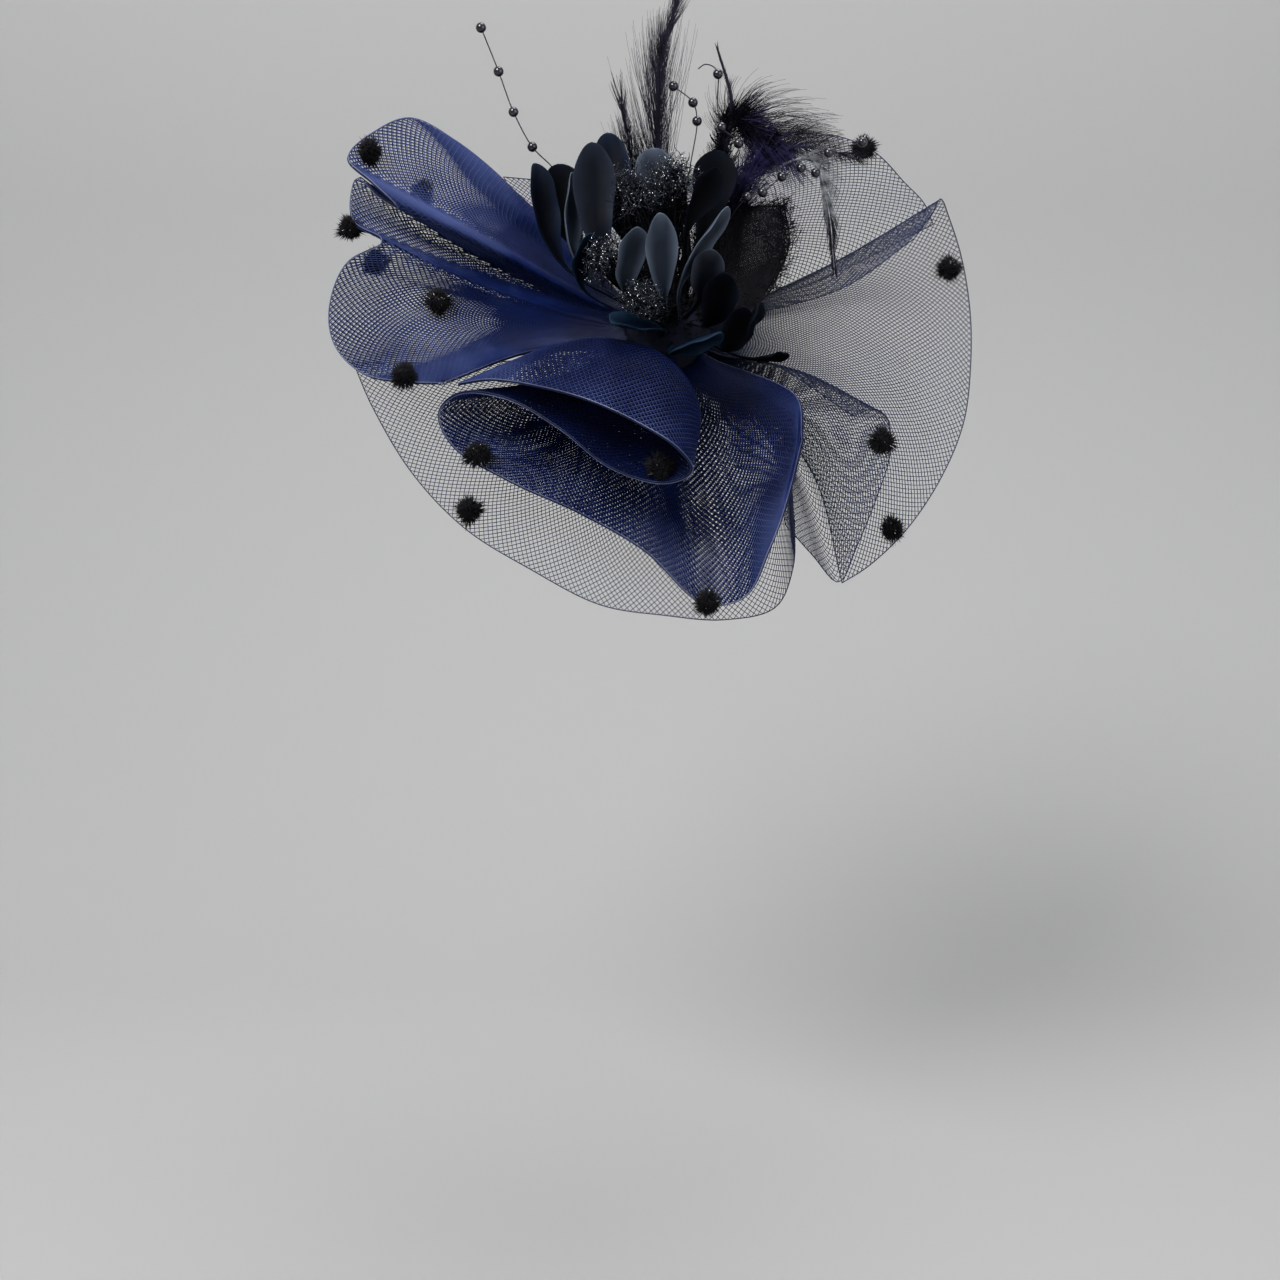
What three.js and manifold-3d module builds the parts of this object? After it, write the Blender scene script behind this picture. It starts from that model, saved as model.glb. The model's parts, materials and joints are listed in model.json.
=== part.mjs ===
// A dress fascinator, as worn: a ruffle of dark blue crinoline net with chenille dots, gathered round a small
// felt base, with an artificial flower, beaded wires and feathers. Millimetres, +Z up. Its front faces along
// -Y, and the origin is the middle of the underside of the base, where it sits.

import * as THREE from 'three';
import { mergeVertices } from 'three/addons/utils/BufferGeometryUtils.js';
import Module from 'manifold-3d';

const wasm = await Module();
wasm.setup();

// Driving dimensions
const GAP = 0.3; // kept between pieces
const SEAT_TILT = 50; // degrees from the horizontal to the base's outward direction
const BASE_RADIUS = 26;
const BASE_THICKNESS = 2.4;
const BASE_BEVEL = 0.6;
const CLIP = { length: 46, width: 8, thickness: 2.4 };
const GATHER_RADIUS = 20; // the line where the net is sewn to the core
const SHOULDER_RADIUS = 29; // the net leaves the base flat as far as this
const NET_WALL = 1;
const PETAL_WALL = 1;
const CORE_RADIUS = GATHER_RADIUS - 1.2 * GAP;
const CORE_SHOULDER = { radius: 15, lift: 22 };
const CORE_TOP = { radius: 8, lift: 26 };
const CORE_SIDE = 17; // the lift where its straight side ends
const PETAL_ROOT_RADIUS = 9;
const PETAL_CLAW = 2.8; // the width of its narrow root
const PETAL_CUP = 0.35; // how far its edges curl forward, as a share of half its width
const BEAD_RADIUS = 2.3;
const WIRE_RADIUS = 0.5;
const QUILL_RADIUS = 1;
const VANE_WALL = 1.2;
const VANE_TILT = 0.25; // how far one side of a vane leans forward, as a share of its reach
const BARB_GAP = 0.35; // the width left between two barbs, as a share of their length
const SPIKE_THICKNESS = 3;
const DOT_RADIUS = 5.4;
const DOT_SEAT = 0.45; // how far its middle stands off the net, as a share of its radius
const TUFT_SEED = 11;
const STAMEN_SEED = 41;

// Directions of the base: across it, up its slope, and out of it
const slope = THREE.MathUtils.degToRad(SEAT_TILT);
const ACROSS = new THREE.Vector3(1, 0, 0);
const UPHILL = new THREE.Vector3(0, Math.sin(slope), Math.cos(slope));
const OUTWARD = new THREE.Vector3(0, -Math.cos(slope), Math.sin(slope));
const FRONT = new THREE.Vector3(0, -1, 0);

// Turns a table into a list of rows with named values
const table = (columns, rows) => rows.map((row) => Object.fromEntries(columns.map((c, i) => [c, row[i]])));

// A place by its bearing round the base (degrees), its distance out from the middle and its lift above the
// underside
const onBase = (turn, out, lift) => {
  const angle = THREE.MathUtils.degToRad(turn);
  return new THREE.Vector3()
    .addScaledVector(ACROSS, out * Math.cos(angle))
    .addScaledVector(UPHILL, out * Math.sin(angle))
    .addScaledVector(OUTWARD, lift);
};

// Stands a shape, whose own Z is its axis, on the base
const standOnBase = (geometry) =>
  geometry.applyMatrix4(new THREE.Matrix4().makeBasis(ACROSS, UPHILL, OUTWARD));

// A seeded row of even random numbers, so that every build is the same
const seeded = (seed) => () => {
  seed = (seed * 1664525 + 1013904223) % 4294967296;
  return seed / 4294967296;
};

// Solids: to and from the library that joins and cuts them
const solidOf = (geometry) => {
  const bare = geometry.clone();
  bare.deleteAttribute('normal');
  bare.deleteAttribute('uv');
  const merged = mergeVertices(bare, 1e-3);
  const mesh = new wasm.Mesh({
    numProp: 3,
    vertProperties: Float32Array.from(merged.attributes.position.array),
    triVerts: Uint32Array.from(merged.index.array),
  });
  const solid = new wasm.Manifold(mesh);
  return solid;
};

const geometryOf = (solid) => {
  const mesh = solid.getMesh();
  const geometry = new THREE.BufferGeometry();
  geometry.setAttribute('position', new THREE.BufferAttribute(Float32Array.from(mesh.vertProperties), 3));
  geometry.setIndex([...mesh.triVerts]);
  return geometry;
};

const fuse = (geometries) => geometries.map(solidOf).reduce((a, b) => a.add(b));
const largest = (solid) => solid.decompose().reduce((a, b) => (b.volume() > a.volume() ? b : a));

// Geometry from points in rows: a closed skin round a wall, or round a tube
const closedGeometry = (points, triangles) => {
  const geometry = new THREE.BufferGeometry();
  geometry.setAttribute('position', new THREE.Float32BufferAttribute(points.flatMap((p) => p.toArray()), 3));
  let volume = 0;
  for (const [a, b, c] of triangles) volume += points[a].dot(points[b].clone().cross(points[c]));
  geometry.setIndex(triangles.flatMap((t) => (volume < 0 ? [t[0], t[2], t[1]] : t)));
  return geometry;
};

const gridNormal = (grid, i, j) => {
  const step = (a, b) => b.clone().sub(a);
  const rows = grid.length - 1;
  const columns = grid[0].length - 1;
  const along = step(grid[Math.max(i - 1, 0)][j], grid[Math.min(i + 1, rows)][j]);
  const across = step(grid[i][Math.max(j - 1, 0)], grid[i][Math.min(j + 1, columns)]);
  return along.cross(across).normalize();
};

// The same surface with its four edges moved out, for a keep-out that is larger all round
const widened = (grid, by) => {
  const past = (p, before) => p.clone().add(p.clone().sub(before).setLength(by));
  const ends = (line) => [
    past(line[0], line[1]), ...line.slice(1, -1), past(line[line.length - 1], line[line.length - 2]),
  ];
  const wide = grid.map(ends);
  const columns = wide[0].map((_, j) => ends(wide.map((row) => row[j])));
  return wide.map((_, i) => columns.map((column) => column[i]));
};

const wallGeometry = (grid, wall) => {
  const rows = grid.length;
  const columns = grid[0].length;
  const points = [];
  for (const side of [wall / 2, -wall / 2])
    grid.forEach((row, i) =>
      row.forEach((p, j) => points.push(p.clone().addScaledVector(gridNormal(grid, i, j), side))));
  const at = (side, i, j) => side * rows * columns + i * columns + j;
  const triangles = [];
  const quad = (a, b, c, d) => triangles.push([a, b, c], [a, c, d]);
  for (let i = 0; i < rows - 1; i++)
    for (let j = 0; j < columns - 1; j++) {
      quad(at(0, i, j), at(0, i + 1, j), at(0, i + 1, j + 1), at(0, i, j + 1));
      quad(at(1, i, j), at(1, i, j + 1), at(1, i + 1, j + 1), at(1, i + 1, j));
    }
  for (let i = 0; i < rows - 1; i++) {
    quad(at(0, i, 0), at(1, i, 0), at(1, i + 1, 0), at(0, i + 1, 0));
    quad(at(0, i + 1, columns - 1), at(1, i + 1, columns - 1), at(1, i, columns - 1), at(0, i, columns - 1));
  }
  for (let j = 0; j < columns - 1; j++) {
    quad(at(0, 0, j + 1), at(1, 0, j + 1), at(1, 0, j), at(0, 0, j));
    quad(at(0, rows - 1, j), at(1, rows - 1, j), at(1, rows - 1, j + 1), at(0, rows - 1, j + 1));
  }
  return closedGeometry(points, triangles);
};

// A tube along a smooth path, with flat ends
const tubeGeometry = (path, radius, steps, sides) => {
  const curve = new THREE.CatmullRomCurve3(path);
  const frames = curve.computeFrenetFrames(steps);
  const points = [];
  for (let i = 0; i <= steps; i++)
    for (let k = 0; k < sides; k++) {
      const angle = (2 * Math.PI * k) / sides;
      points.push(curve.getPointAt(i / steps)
        .addScaledVector(frames.normals[i], radius * Math.cos(angle))
        .addScaledVector(frames.binormals[i], radius * Math.sin(angle)));
    }
  const triangles = [];
  for (let i = 0; i < steps; i++)
    for (let k = 0; k < sides; k++) {
      const next = (k + 1) % sides;
      const [a, b, c, d] = [i * sides + k, i * sides + next, (i + 1) * sides + next, (i + 1) * sides + k];
      triangles.push([a, b, c], [a, c, d]);
    }
  const end = steps * sides;
  for (let k = 1; k < sides - 1; k++) triangles.push([0, k + 1, k], [end, end + k, end + k + 1]);
  return closedGeometry(points, triangles);
};

// A pointed lock: a square root of a given breadth, drawn out to a point
const lockGeometry = (root, tip, breadth) => {
  const run = tip.clone().sub(root);
  const side = run.clone().cross(FRONT).normalize();
  if (side.lengthSq() < 0.5) side.copy(ACROSS);
  const face = run.clone().cross(side).normalize();
  const points = [[1, 1], [-1, 1], [-1, -1], [1, -1]].map(([s, f]) => root.clone()
    .addScaledVector(side, (s * breadth) / 2)
    .addScaledVector(face, (f * breadth) / 2));
  return closedGeometry([...points, tip], [[0, 1, 2], [0, 2, 3], [0, 4, 1], [1, 4, 2], [2, 4, 3], [3, 4, 0]]);
};

// The net ruffle. Each row is one section, from the gather on the base over a crest to the free edge:
// the bearing and lift where it leaves the base, then the crest and the edge as places.
const SECTION = ['turn', 'lift', 'crestX', 'crestY', 'crestZ', 'rimX', 'rimY', 'rimZ'];
const RUFFLE = {
  crin_front_roll: {
    steps: 5,
    rows: table(SECTION, [
      [206, 13, -58, -38, 1, -94, -52, -12],
      [212, 13.5, -51, -48, 5, -78, -66, -9],
      [222, 14, -35, -56, 8, -56, -80, -11],
      [238, 14.5, -20, -62, 7, -34, -92, -16],
      [256, 14.5, -5, -66, 2, -13, -100, -25],
      [270, 14, 7, -68, -9, 3, -104, -35],
      [278, 13, 13, -64, -24, 9, -99, -45],
      [276, 11, 8, -56, -27, -3, -92, -51],
      [262, 10, -6, -49, -23, -26, -86, -45],
      [240, 9.5, -27, -44, -17, -48, -78, -29],
      [221, 9.3, -48, -40, -14, -72, -66, -17],
      [211, 9.2, -65, -36, -14, -94, -56, -16],
      [207, 8.4, -71, -34, -21, -103, -52, -25],
      [211, 6.8, -65, -34, -32, -97, -54, -39],
      [223, 6.3, -51, -38, -38, -71, -62, -54],
      [240, 6.2, -33, -42, -45, -40, -70, -67],
      [260, 6.2, -12, -48, -48, -11, -76, -83],
      [277, 6.2, 9, -54, -50, 15, -80, -106],
      [292, 6.5, 29, -56, -48, 33, -80, -103],
      [304, 7.5, 47, -54, -41, 44, -76, -82],
      [313, 9, 56, -48, -30, 52, -68, -62],
      [320, 10.5, 57, -42, -18, 59, -60, -36],
    ]),
  },
  crin_brim: {
    steps: 4,
    rows: table(SECTION, [
      [188, 3.4, -83, -12, -5, -146, -14, -5],
      [198, 3.4, -78, -20, -15, -137, -22, -24],
      [210, 3.4, -68, -26, -30, -118, -32, -54],
      [224, 3.4, -54, -31, -44, -93, -44, -78],
      [239, 3.4, -38, -36, -55, -63, -54, -95],
      [254, 3.4, -20, -40, -61, -31, -62, -110],
      [269, 3.4, -2, -42, -63, -2, -66, -114],
      [285, 3.4, 19, -42, -61, 25, -66, -116],
      [298, 3.9, 35, -40, -54, 48, -62, -111],
      [310, 5.2, 46, -38, -43, 56, -56, -94],
      [320, 6.6, 51, -34, -30, 57, -48, -75],
    ]),
  },
  crin_flap: {
    steps: 4,
    rows: table(SECTION, [
      [329, 10.5, 48, -34, -5, 83, -42, -27],
      [334, 9.6, 57, -30, -7, 93, -40, -24],
      [337, 7.6, 66, -25, -11, 100, -34, -30],
      [334, 6, 69, -26, -21, 101, -36, -45],
      [328, 5, 67, -28, -32, 95, -40, -64],
      [322, 4.1, 63, -29, -43, 86, -44, -86],
      [318, 3.6, 58, -27, -48, 78, -44, -103],
      [316, 3.4, 51, -24, -44, 66, -39, -91],
      [315, 3.4, 46, -21, -37, 54, -34, -78],
    ]),
  },
  crin_fan: {
    steps: 5,
    rows: table(SECTION, [
      [21, 9.4, 83, 18, 28, 118, 28, 51],
      [26, 9.2, 81, 22, 35, 127, 32, 63],
      [31, 8, 80, 30, 40, 132, 40, 70],
      [33, 6, 83, 38, 38, 138, 50, 61],
      [29, 4.4, 89, 40, 30, 145, 52, 42],
      [23, 3.6, 94, 36, 20, 149, 46, 17],
      [15, 3.4, 96, 28, 6, 149, 38, -7],
      [4, 3.4, 96, 18, -11, 145, 28, -36],
      [-7, 3.4, 93, 8, -26, 133, 16, -62],
      [-18, 3.4, 86, -2, -42, 115, 4, -86],
      [-28, 3.4, 77, -10, -53, 96, -6, -102],
      [-34, 3.4, 67, -14, -55, 83, -12, -109],
    ]),
  },
  crin_back: {
    steps: 4,
    rows: table(SECTION, [
      [39, 3.4, 80, 50, 33, 132, 62, 58],
      [44, 3.4, 70, 52, 41, 128, 66, 68],
      [50, 3.4, 62, 56, 49, 119, 72, 78],
      [57, 3.4, 54, 60, 58, 103, 78, 94],
      [66, 3.4, 39, 64, 63, 78, 86, 102],
      [79, 3.4, 18, 66, 64, 48, 92, 90],
      [94, 3.4, -6, 64, 63, 15, 94, 81],
      [108, 3.4, -27, 60, 59, -21, 90, 78],
      [122, 3.4, -47, 54, 53, -53, 82, 79],
      [133, 3.4, -60, 46, 45, -81, 70, 81],
    ]),
  },
  crin_left_loop: {
    steps: 5,
    rows: table(SECTION, [
      [134, 12, -38, 18, 40, -56, 30, 52],
      [138, 13, -51, 16, 53, -77, 26, 77],
      [142, 14, -66, 12, 62, -100, 20, 96],
      [147, 15, -79, 8, 64, -120, 12, 106],
      [152, 16, -87, 2, 62, -136, 2, 99],
      [157, 17, -92, -8, 57, -146, -12, 87],
      [161, 17, -86, -14, 51, -134, -20, 76],
      [163, 16.5, -82, -14, 46, -122, -20, 65],
      [165, 15.5, -86, -4, 44, -134, -5, 71],
      [166, 14.8, -92, 1, 43, -144, 2, 79],
      [168, 14.2, -95, -2, 39, -147, -2, 68],
      [171, 13.5, -94, -6, 35, -144, -9, 58],
      [174, 13, -91, -12, 31, -130, -20, 50],
      [178, 13, -96, -12, 25, -148, -14, 40],
      [182, 13, -95, -16, 17, -156, -16, 20],
      [187, 13, -90, -23, 10, -153, -22, 3],
      [193, 13, -83, -29, 4, -139, -30, -9],
      [198, 13, -73, -34, 1, -118, -40, -12],
      [202, 13, -64, -36, 1, -101, -47, -12],
    ]),
  },
};

// The ruffle's surface as points: two rows of points to a section, and equal steps past the shoulder
const ROWS_PER_SECTION = 2;
const SHOULDER_SHARE = 1 / 3; // of a section's curve, whose points are the gather, shoulder, crest and edge
const ruffleGrid = ({ rows, steps }) => {
  const lines = [
    rows.map((s) => onBase(s.turn, GATHER_RADIUS, s.lift)),
    rows.map((s) => onBase(s.turn, SHOULDER_RADIUS, s.lift)),
    rows.map((s) => new THREE.Vector3(s.crestX, s.crestY, s.crestZ)),
    rows.map((s) => new THREE.Vector3(s.rimX, s.rimY, s.rimZ)),
  ].map((points) => new THREE.CatmullRomCurve3(points));
  const count = ROWS_PER_SECTION * (rows.length - 1);
  return Array.from({ length: count + 1 }, (_, i) => {
    const section = new THREE.CatmullRomCurve3(lines.map((line) => line.getPoint(i / count)));
    const past = Array.from({ length: steps + 1 }, (_, k) =>
      section.getPoint(SHOULDER_SHARE + ((1 - SHOULDER_SHARE) * k) / steps));
    return [section.getPoint(0), ...past];
  });
};

// A place between the points of a grid, and the way out of the surface there
const onNet = (grid, row, column) => {
  const i = Math.min(Math.floor(row), grid.length - 2);
  const j = Math.min(Math.floor(column), grid[0].length - 2);
  const between = (value) => value(i, j).lerp(value(i + 1, j), row - i)
    .lerp(value(i, j + 1).lerp(value(i + 1, j + 1), row - i), column - j);
  return {
    place: between((a, b) => grid[a][b].clone()),
    normal: between((a, b) => gridNormal(grid, a, b)).normalize(),
  };
};

// Chenille dots: a tuft on the net, by the section and the share of the way from the shoulder to the edge
const DOTS = table(['name', 'ruffle', 'section', 'reach', 'side'], [
  ['dot_loop_tip', 'crin_left_loop', 4.6, 0.94, -1],
  ['dot_loop_edge', 'crin_left_loop', 10.9, 1, 1],
  ['dot_left_middle', 'crin_left_loop', 13.6, 0.58, -1],
  ['dot_left_low', 'crin_left_loop', 16.9, 0.98, -1],
  ['dot_left_under', 'crin_left_loop', 12.8, 0.9, 1],
  ['dot_loop_under', 'crin_left_loop', 4.5, 0.7, 1],
  ['dot_roll_left', 'crin_front_roll', 13.4, 0.97, -1],
  ['dot_roll_lip', 'crin_front_roll', 7.1, 0.94, 1],
  ['dot_roll_hem', 'crin_front_roll', 17.1, 1, -1],
  ['dot_brim', 'crin_brim', 2.9, 0.93, -1],
  ['dot_flap', 'crin_flap', 2.8, 0.95, 1],
  ['dot_fan_low', 'crin_fan', 9.3, 0.93, 1],
  ['dot_fan_high', 'crin_fan', 4.2, 0.93, 1],
  ['dot_back', 'crin_back', 3.1, 0.98, -1],
]);

// A tuft is a ball whose points are drawn out as locks, pressed flat where it lies on the net
const TUFT_LOCK = 1.08; // the reach of a lock, as a share of the dot's radius
const TUFT_DIPS = [0.78, 0.92]; // and of the dips between the locks
const tuftGeometry = (place, outward, seed) => {
  const random = seeded(seed);
  const ball = new THREE.IcosahedronGeometry(1, 1);
  ball.deleteAttribute('normal');
  ball.deleteAttribute('uv');
  const geometry = mergeVertices(ball, 1e-3);
  const clear = NET_WALL / 2 + 2 * GAP;
  const centre = place.clone().addScaledVector(outward, clear + DOT_SEAT * DOT_RADIUS);
  const points = geometry.attributes.position;
  for (let k = 0; k < points.count; k++) {
    const lock = new THREE.Vector3().fromBufferAttribute(points, k);
    const reach = k % 3 ? THREE.MathUtils.lerp(...TUFT_DIPS, random()) : TUFT_LOCK;
    lock.multiplyScalar(DOT_RADIUS * reach);
    const depth = lock.dot(outward);
    lock.addScaledVector(outward, Math.max(0, -DOT_SEAT * DOT_RADIUS - depth)).add(centre);
    points.setXYZ(k, lock.x, lock.y, lock.z);
  }
  return geometry;
};

// The flower. Each petal runs from its root on the core over a heel, where its narrow claw opens into the
// blade, to its tip. The face is turned away from the viewer by an angle round the blade's length.
const PETAL = ['turn', 'lift', 'heelX', 'heelY', 'heelZ', 'tipX', 'tipY', 'tipZ', 'width', 'face'];
const PETALS = table(PETAL, [
  [170, 19, -50, -30, 42, -62, -14, 84, 19, 55],
  [142, 21, -42, -18, 48, -51, -4, 84, 20, 15],
  [186, 21, -42, -40, 42, -45, -26, 80, 16, 66],
  [150, 24, -30, -36, 46, -35, -28, 93, 19, 10],
  [118, 24, -21, -18, 54, -28, -10, 98, 18, 0],
  [203, 19, -40, -46, 32, -36, -46, 54, 17, 50],
  [222, 22, -20, -50, 30, -15, -56, 57, 15, 30],
  [262, 24, -3, -50, 28, -5, -62, 63, 14, 10],
  [300, 26, 5, -48, 33, 24, -52, 66, 14, 60],
  [322, 25, 14, -42, 26, 18, -54, 48, 15, 5],
  [332, 21, 18, -38, 14, 24, -52, 38, 16, 10],
  [344, 17, 25, -34, 2, 33, -46, 23, 15, 20],
  [246, 15, -4, -48, 12, -26, -70, 14, 18, 72],
  [292, 15, 0, -52, 2, 22, -62, 13, 18, 68],
  [62, 24, 15, -20, 56, 23, -6, 90, 20, 5],
  [20, 24, 8, -34, 58, 21, -24, 82, 17, 42],
  [92, 25, -6, -20, 62, -7, -12, 91, 18, 0],
  [352, 12, 38, -30, -2, 54, -36, 2, 9, 60],
  [4, 19, 33, -34, 8, 38, -44, 24, 16, 74],
]);

const HEEL_AT = 0.5; // the share of the spine where the blade begins
const BLADE_STEPS = 4;
const PETAL_HALVES = [-1, 0, 1];
const OVAL = { start: 0.1, span: 0.82, lean: 0.9, fullness: 0.7 }; // a blade's outline: part of a half wave
const petalGrid = ({ turn, lift, heelX, heelY, heelZ, tipX, tipY, tipZ, width, face }) => {
  const root = onBase(turn, PETAL_ROOT_RADIUS, lift);
  const heel = new THREE.Vector3(heelX, heelY, heelZ);
  const tip = new THREE.Vector3(tipX, tipY, tipZ);
  const spine = new THREE.CatmullRomCurve3([root, heel, tip]);
  const blade = tip.clone().sub(heel).normalize();
  const flat = FRONT.clone().cross(blade).normalize();
  flat.applyAxisAngle(blade, THREE.MathUtils.degToRad(face));
  const front = blade.clone().cross(flat).normalize();
  const claw = { at: 0, half: PETAL_CLAW / 2 };
  const bladeRows = Array.from({ length: BLADE_STEPS + 1 }, (_, k) => {
    const share = k / BLADE_STEPS;
    const oval = Math.sin(Math.PI * (OVAL.start + OVAL.span * share ** OVAL.lean)) ** OVAL.fullness;
    return { at: HEEL_AT + (1 - HEEL_AT) * share, half: (width / 2) * oval };
  });
  return [claw, ...bladeRows].map(({ at, half }) => PETAL_HALVES.map((v) => spine.getPoint(at)
    .addScaledVector(flat, half * v)
    .addScaledVector(front, half * PETAL_CUP * v * v)));
};

// Clusters of glittered stamens between the petals: spikes fused to a small knot on a stem
const STAMENS = table(['name', 'x', 'y', 'z', 'radius', 'spikes', 'reach'], [
  ['stamens_upper', -17, -30, 72, 7.7, 8, 17],
  ['stamens_ridge', 2, -24, 78, 5.6, 8, 14],
  ['stamens_left', -30, -50, 43, 5.6, 8, 13],
  ['stamens_front', -12, -54, 25, 6.3, 8, 13],
]);

const GOLDEN_ANGLE = 2.4; // radians between one spike and the next
const STEM_FOOT = onBase(0, 0, CORE_SHOULDER.lift);
const stamenCluster = ({ x, y, z, radius, spikes, reach }, seed, grow) => {
  const random = seeded(seed);
  const centre = new THREE.Vector3();
  const breadth = SPIKE_THICKNESS + 2 * grow;
  const knot = new THREE.IcosahedronGeometry(radius + grow, 0);
  const points = Array.from({ length: spikes }, (_, k) => {
    const height = 1 - (2 * (k + 0.5)) / spikes;
    const spread = Math.sqrt(1 - height * height);
    const way = new THREE.Vector3(
      spread * Math.cos(k * GOLDEN_ANGLE), spread * Math.sin(k * GOLDEN_ANGLE), height);
    const length = reach * THREE.MathUtils.lerp(0.7, 1, random());
    return lockGeometry(centre, way.multiplyScalar(length + 2 * grow), breadth);
  });
  const stem = lockGeometry(centre, STEM_FOOT.clone().sub(new THREE.Vector3(x, y, z)), breadth);
  return [knot, ...points, stem].map((geometry) => geometry.translate(x, y, z));
};

// A scrap of black lace behind the flower: a small crumpled wall, a row for each line from its root outwards
const LACE_RIGHT = [
  [[12, -15, 14], [24, -19, 15], [36, -19, 19], [46, -17, 27]],
  [[11, -13, 18], [22, -12, 34], [37, -9, 44], [55, -12, 48]],
  [[10, -11, 20], [20, -8, 48], [34, -4, 64], [53, -8, 66]],
];

// Beads strung on wire: the wire's path from the core to its tip, and the places of the beads on it
const SPRAYS = {
  beads_left: {
    path: [
      [-8, -7, 20], [-15, 4, 36], [-44, 2, 72], [-54, -6, 84],
      [-62, -12, 92], [-70, -18, 107], [-76, -24, 124], [-83, -30, 142],
    ],
    beads: [[-62, -12, 92], [-70, -18, 107], [-76, -24, 124], [-83, -30, 142]],
  },
  beads_middle: {
    path: [[2, -9, 22], [3, 1, 38], [10, 0, 84], [13, 0, 104], [11, -3, 112], [2, -6, 119]],
    beads: [[13, 0, 104], [11, -3, 112], [2, -6, 119]],
  },
  beads_tall: {
    path: [
      [6, -9, 21], [9, 0, 38], [26, 0, 78], [32, -2, 94],
      [24, -6, 101], [22, -8, 112], [22, -10, 124], [14, -12, 127],
    ],
    beads: [[32, -2, 94], [24, -6, 101], [22, -10, 124]],
  },
  beads_right: {
    path: [
      [9, -10, 18], [14, -1, 34], [36, -8, 70], [43, -8, 72], [52, -4, 79],
      [61, 0, 83], [68, 2, 81], [74, 4, 90], [90, 8, 95],
    ],
    beads: [
      [36, -8, 70], [43, -8, 72], [52, -4, 79], [61, 0, 83], [68, 2, 81], [74, 4, 90], [90, 8, 95],
    ],
  },
};

const sprayParts = ({ path, beads }, grow) => [
  tubeGeometry(path.map((p) => new THREE.Vector3(...p)), WIRE_RADIUS + grow, path.length, 5),
  ...beads.map((place) => new THREE.SphereGeometry(BEAD_RADIUS + grow, 10, 4).translate(...place)),
];

// Feathers: a quill and a saw-toothed vane in one. The barbs begin at a share of the way along, lean by a
// slant towards the tip, and are longest in the middle.
const FEATHERS = {
  feather_tall: {
    path: [[0, -6, 20], [0, 6, 38], [-4, 2, 84], [-2, 4, 120], [1, 6, 150], [0, 8, 178]],
    from: 0.42, barbs: 9, length: 15, slant: 12,
  },
  feather_stripped: {
    path: [[5, -6, 20], [12, 6, 38], [26, 4, 90], [29, 4, 112], [21, 4, 138]],
    from: 0.76, barbs: 4, length: 6, slant: 6,
  },
  feather_fan: {
    path: [[8, -7, 19], [18, 6, 38], [30, 6, 90], [40, 8, 108], [58, 12, 108], [80, 16, 104]],
    from: 0.56, barbs: 8, length: 13, slant: 5,
  },
  feather_marabou: {
    path: [[10, -8, 18], [20, 8, 38], [36, 8, 78], [52, 10, 92], [72, 14, 92], [90, 16, 87]],
    from: 0.5, barbs: 8, length: 13, slant: 5,
  },
  feather_hackle: {
    path: [[11, -9, 16], [23, 5, 36], [46, 7, 80], [66, 8, 87], [74, 3, 66], [77, -3, 38]],
    from: 0.6, barbs: 7, length: 5, slant: 6,
  },
  feather_tuft: {
    path: [[-4, -6, 20], [-8, 9, 38], [-16, 6, 80], [-20, 5, 98], [-24, 5, 116]],
    from: 0.55, barbs: 6, length: 12, slant: 9,
  },
};

const VANE_LEAN = 0.12; // how far the longest barbs lie before the middle of the vane
const STEM_STEPS = 6; // to the length of the whole feather
const VANE_ROOT = 0.35; // the shortest barbs, at the two ends of the vane, as a share of the longest
const featherGrid = ({ path, from, barbs, length, slant }) => {
  const curve = new THREE.CatmullRomCurve3(path.map((p) => new THREE.Vector3(...p)));
  const stemSteps = Math.round(STEM_STEPS * from);
  const stem = Array.from({ length: stemSteps }, (_, k) => (
    { at: (from * k) / stemSteps, reach: QUILL_RADIUS }));
  const vane = Array.from({ length: 2 * barbs + 1 }, (_, k) => {
    const share = k / (2 * barbs);
    const swell = Math.sin(Math.PI * Math.min(1, share + VANE_LEAN));
    const full = length * THREE.MathUtils.lerp(VANE_ROOT, 1, swell);
    return { at: from + (1 - from) * share, reach: k % 2 ? full : full * BARB_GAP };
  });
  return [...stem, ...vane].map(({ at, reach }, k) => {
    const tangent = curve.getTangentAt(at);
    const sideways = tangent.clone().cross(FRONT).normalize();
    const lean = k < stemSteps ? 0 : (slant * reach) / length;
    return [-1, 0, 1].map((side) => curve.getPointAt(at)
      .addScaledVector(sideways, side * reach)
      .addScaledVector(tangent, Math.abs(side) * lean)
      .addScaledVector(FRONT, VANE_TILT * side * reach));
  });
};

// The base, the clip under it and the core that the net's gathers and the flower's petals are sewn to
const lathe = (profile, sides) => {
  const turned = new THREE.LatheGeometry(profile.map((p) => new THREE.Vector2(...p)), sides);
  return standOnBase(turned.rotateX(Math.PI / 2));
};

const baseDisc = () => lathe([
  [0, 0],
  [BASE_RADIUS, 0],
  [BASE_RADIUS, BASE_THICKNESS - BASE_BEVEL],
  [BASE_RADIUS - BASE_BEVEL, BASE_THICKNESS],
  [0, BASE_THICKNESS],
], 18);

const coreGeometry = (grow) => lathe([
  [0, BASE_THICKNESS + GAP - grow],
  [CORE_RADIUS + grow, BASE_THICKNESS + GAP - grow],
  [CORE_RADIUS + grow, CORE_SIDE + grow],
  [CORE_SHOULDER.radius + grow, CORE_SHOULDER.lift + grow],
  [CORE_TOP.radius + grow, CORE_TOP.lift + grow],
  [0, CORE_TOP.lift + 1 + grow],
], 18);

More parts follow.
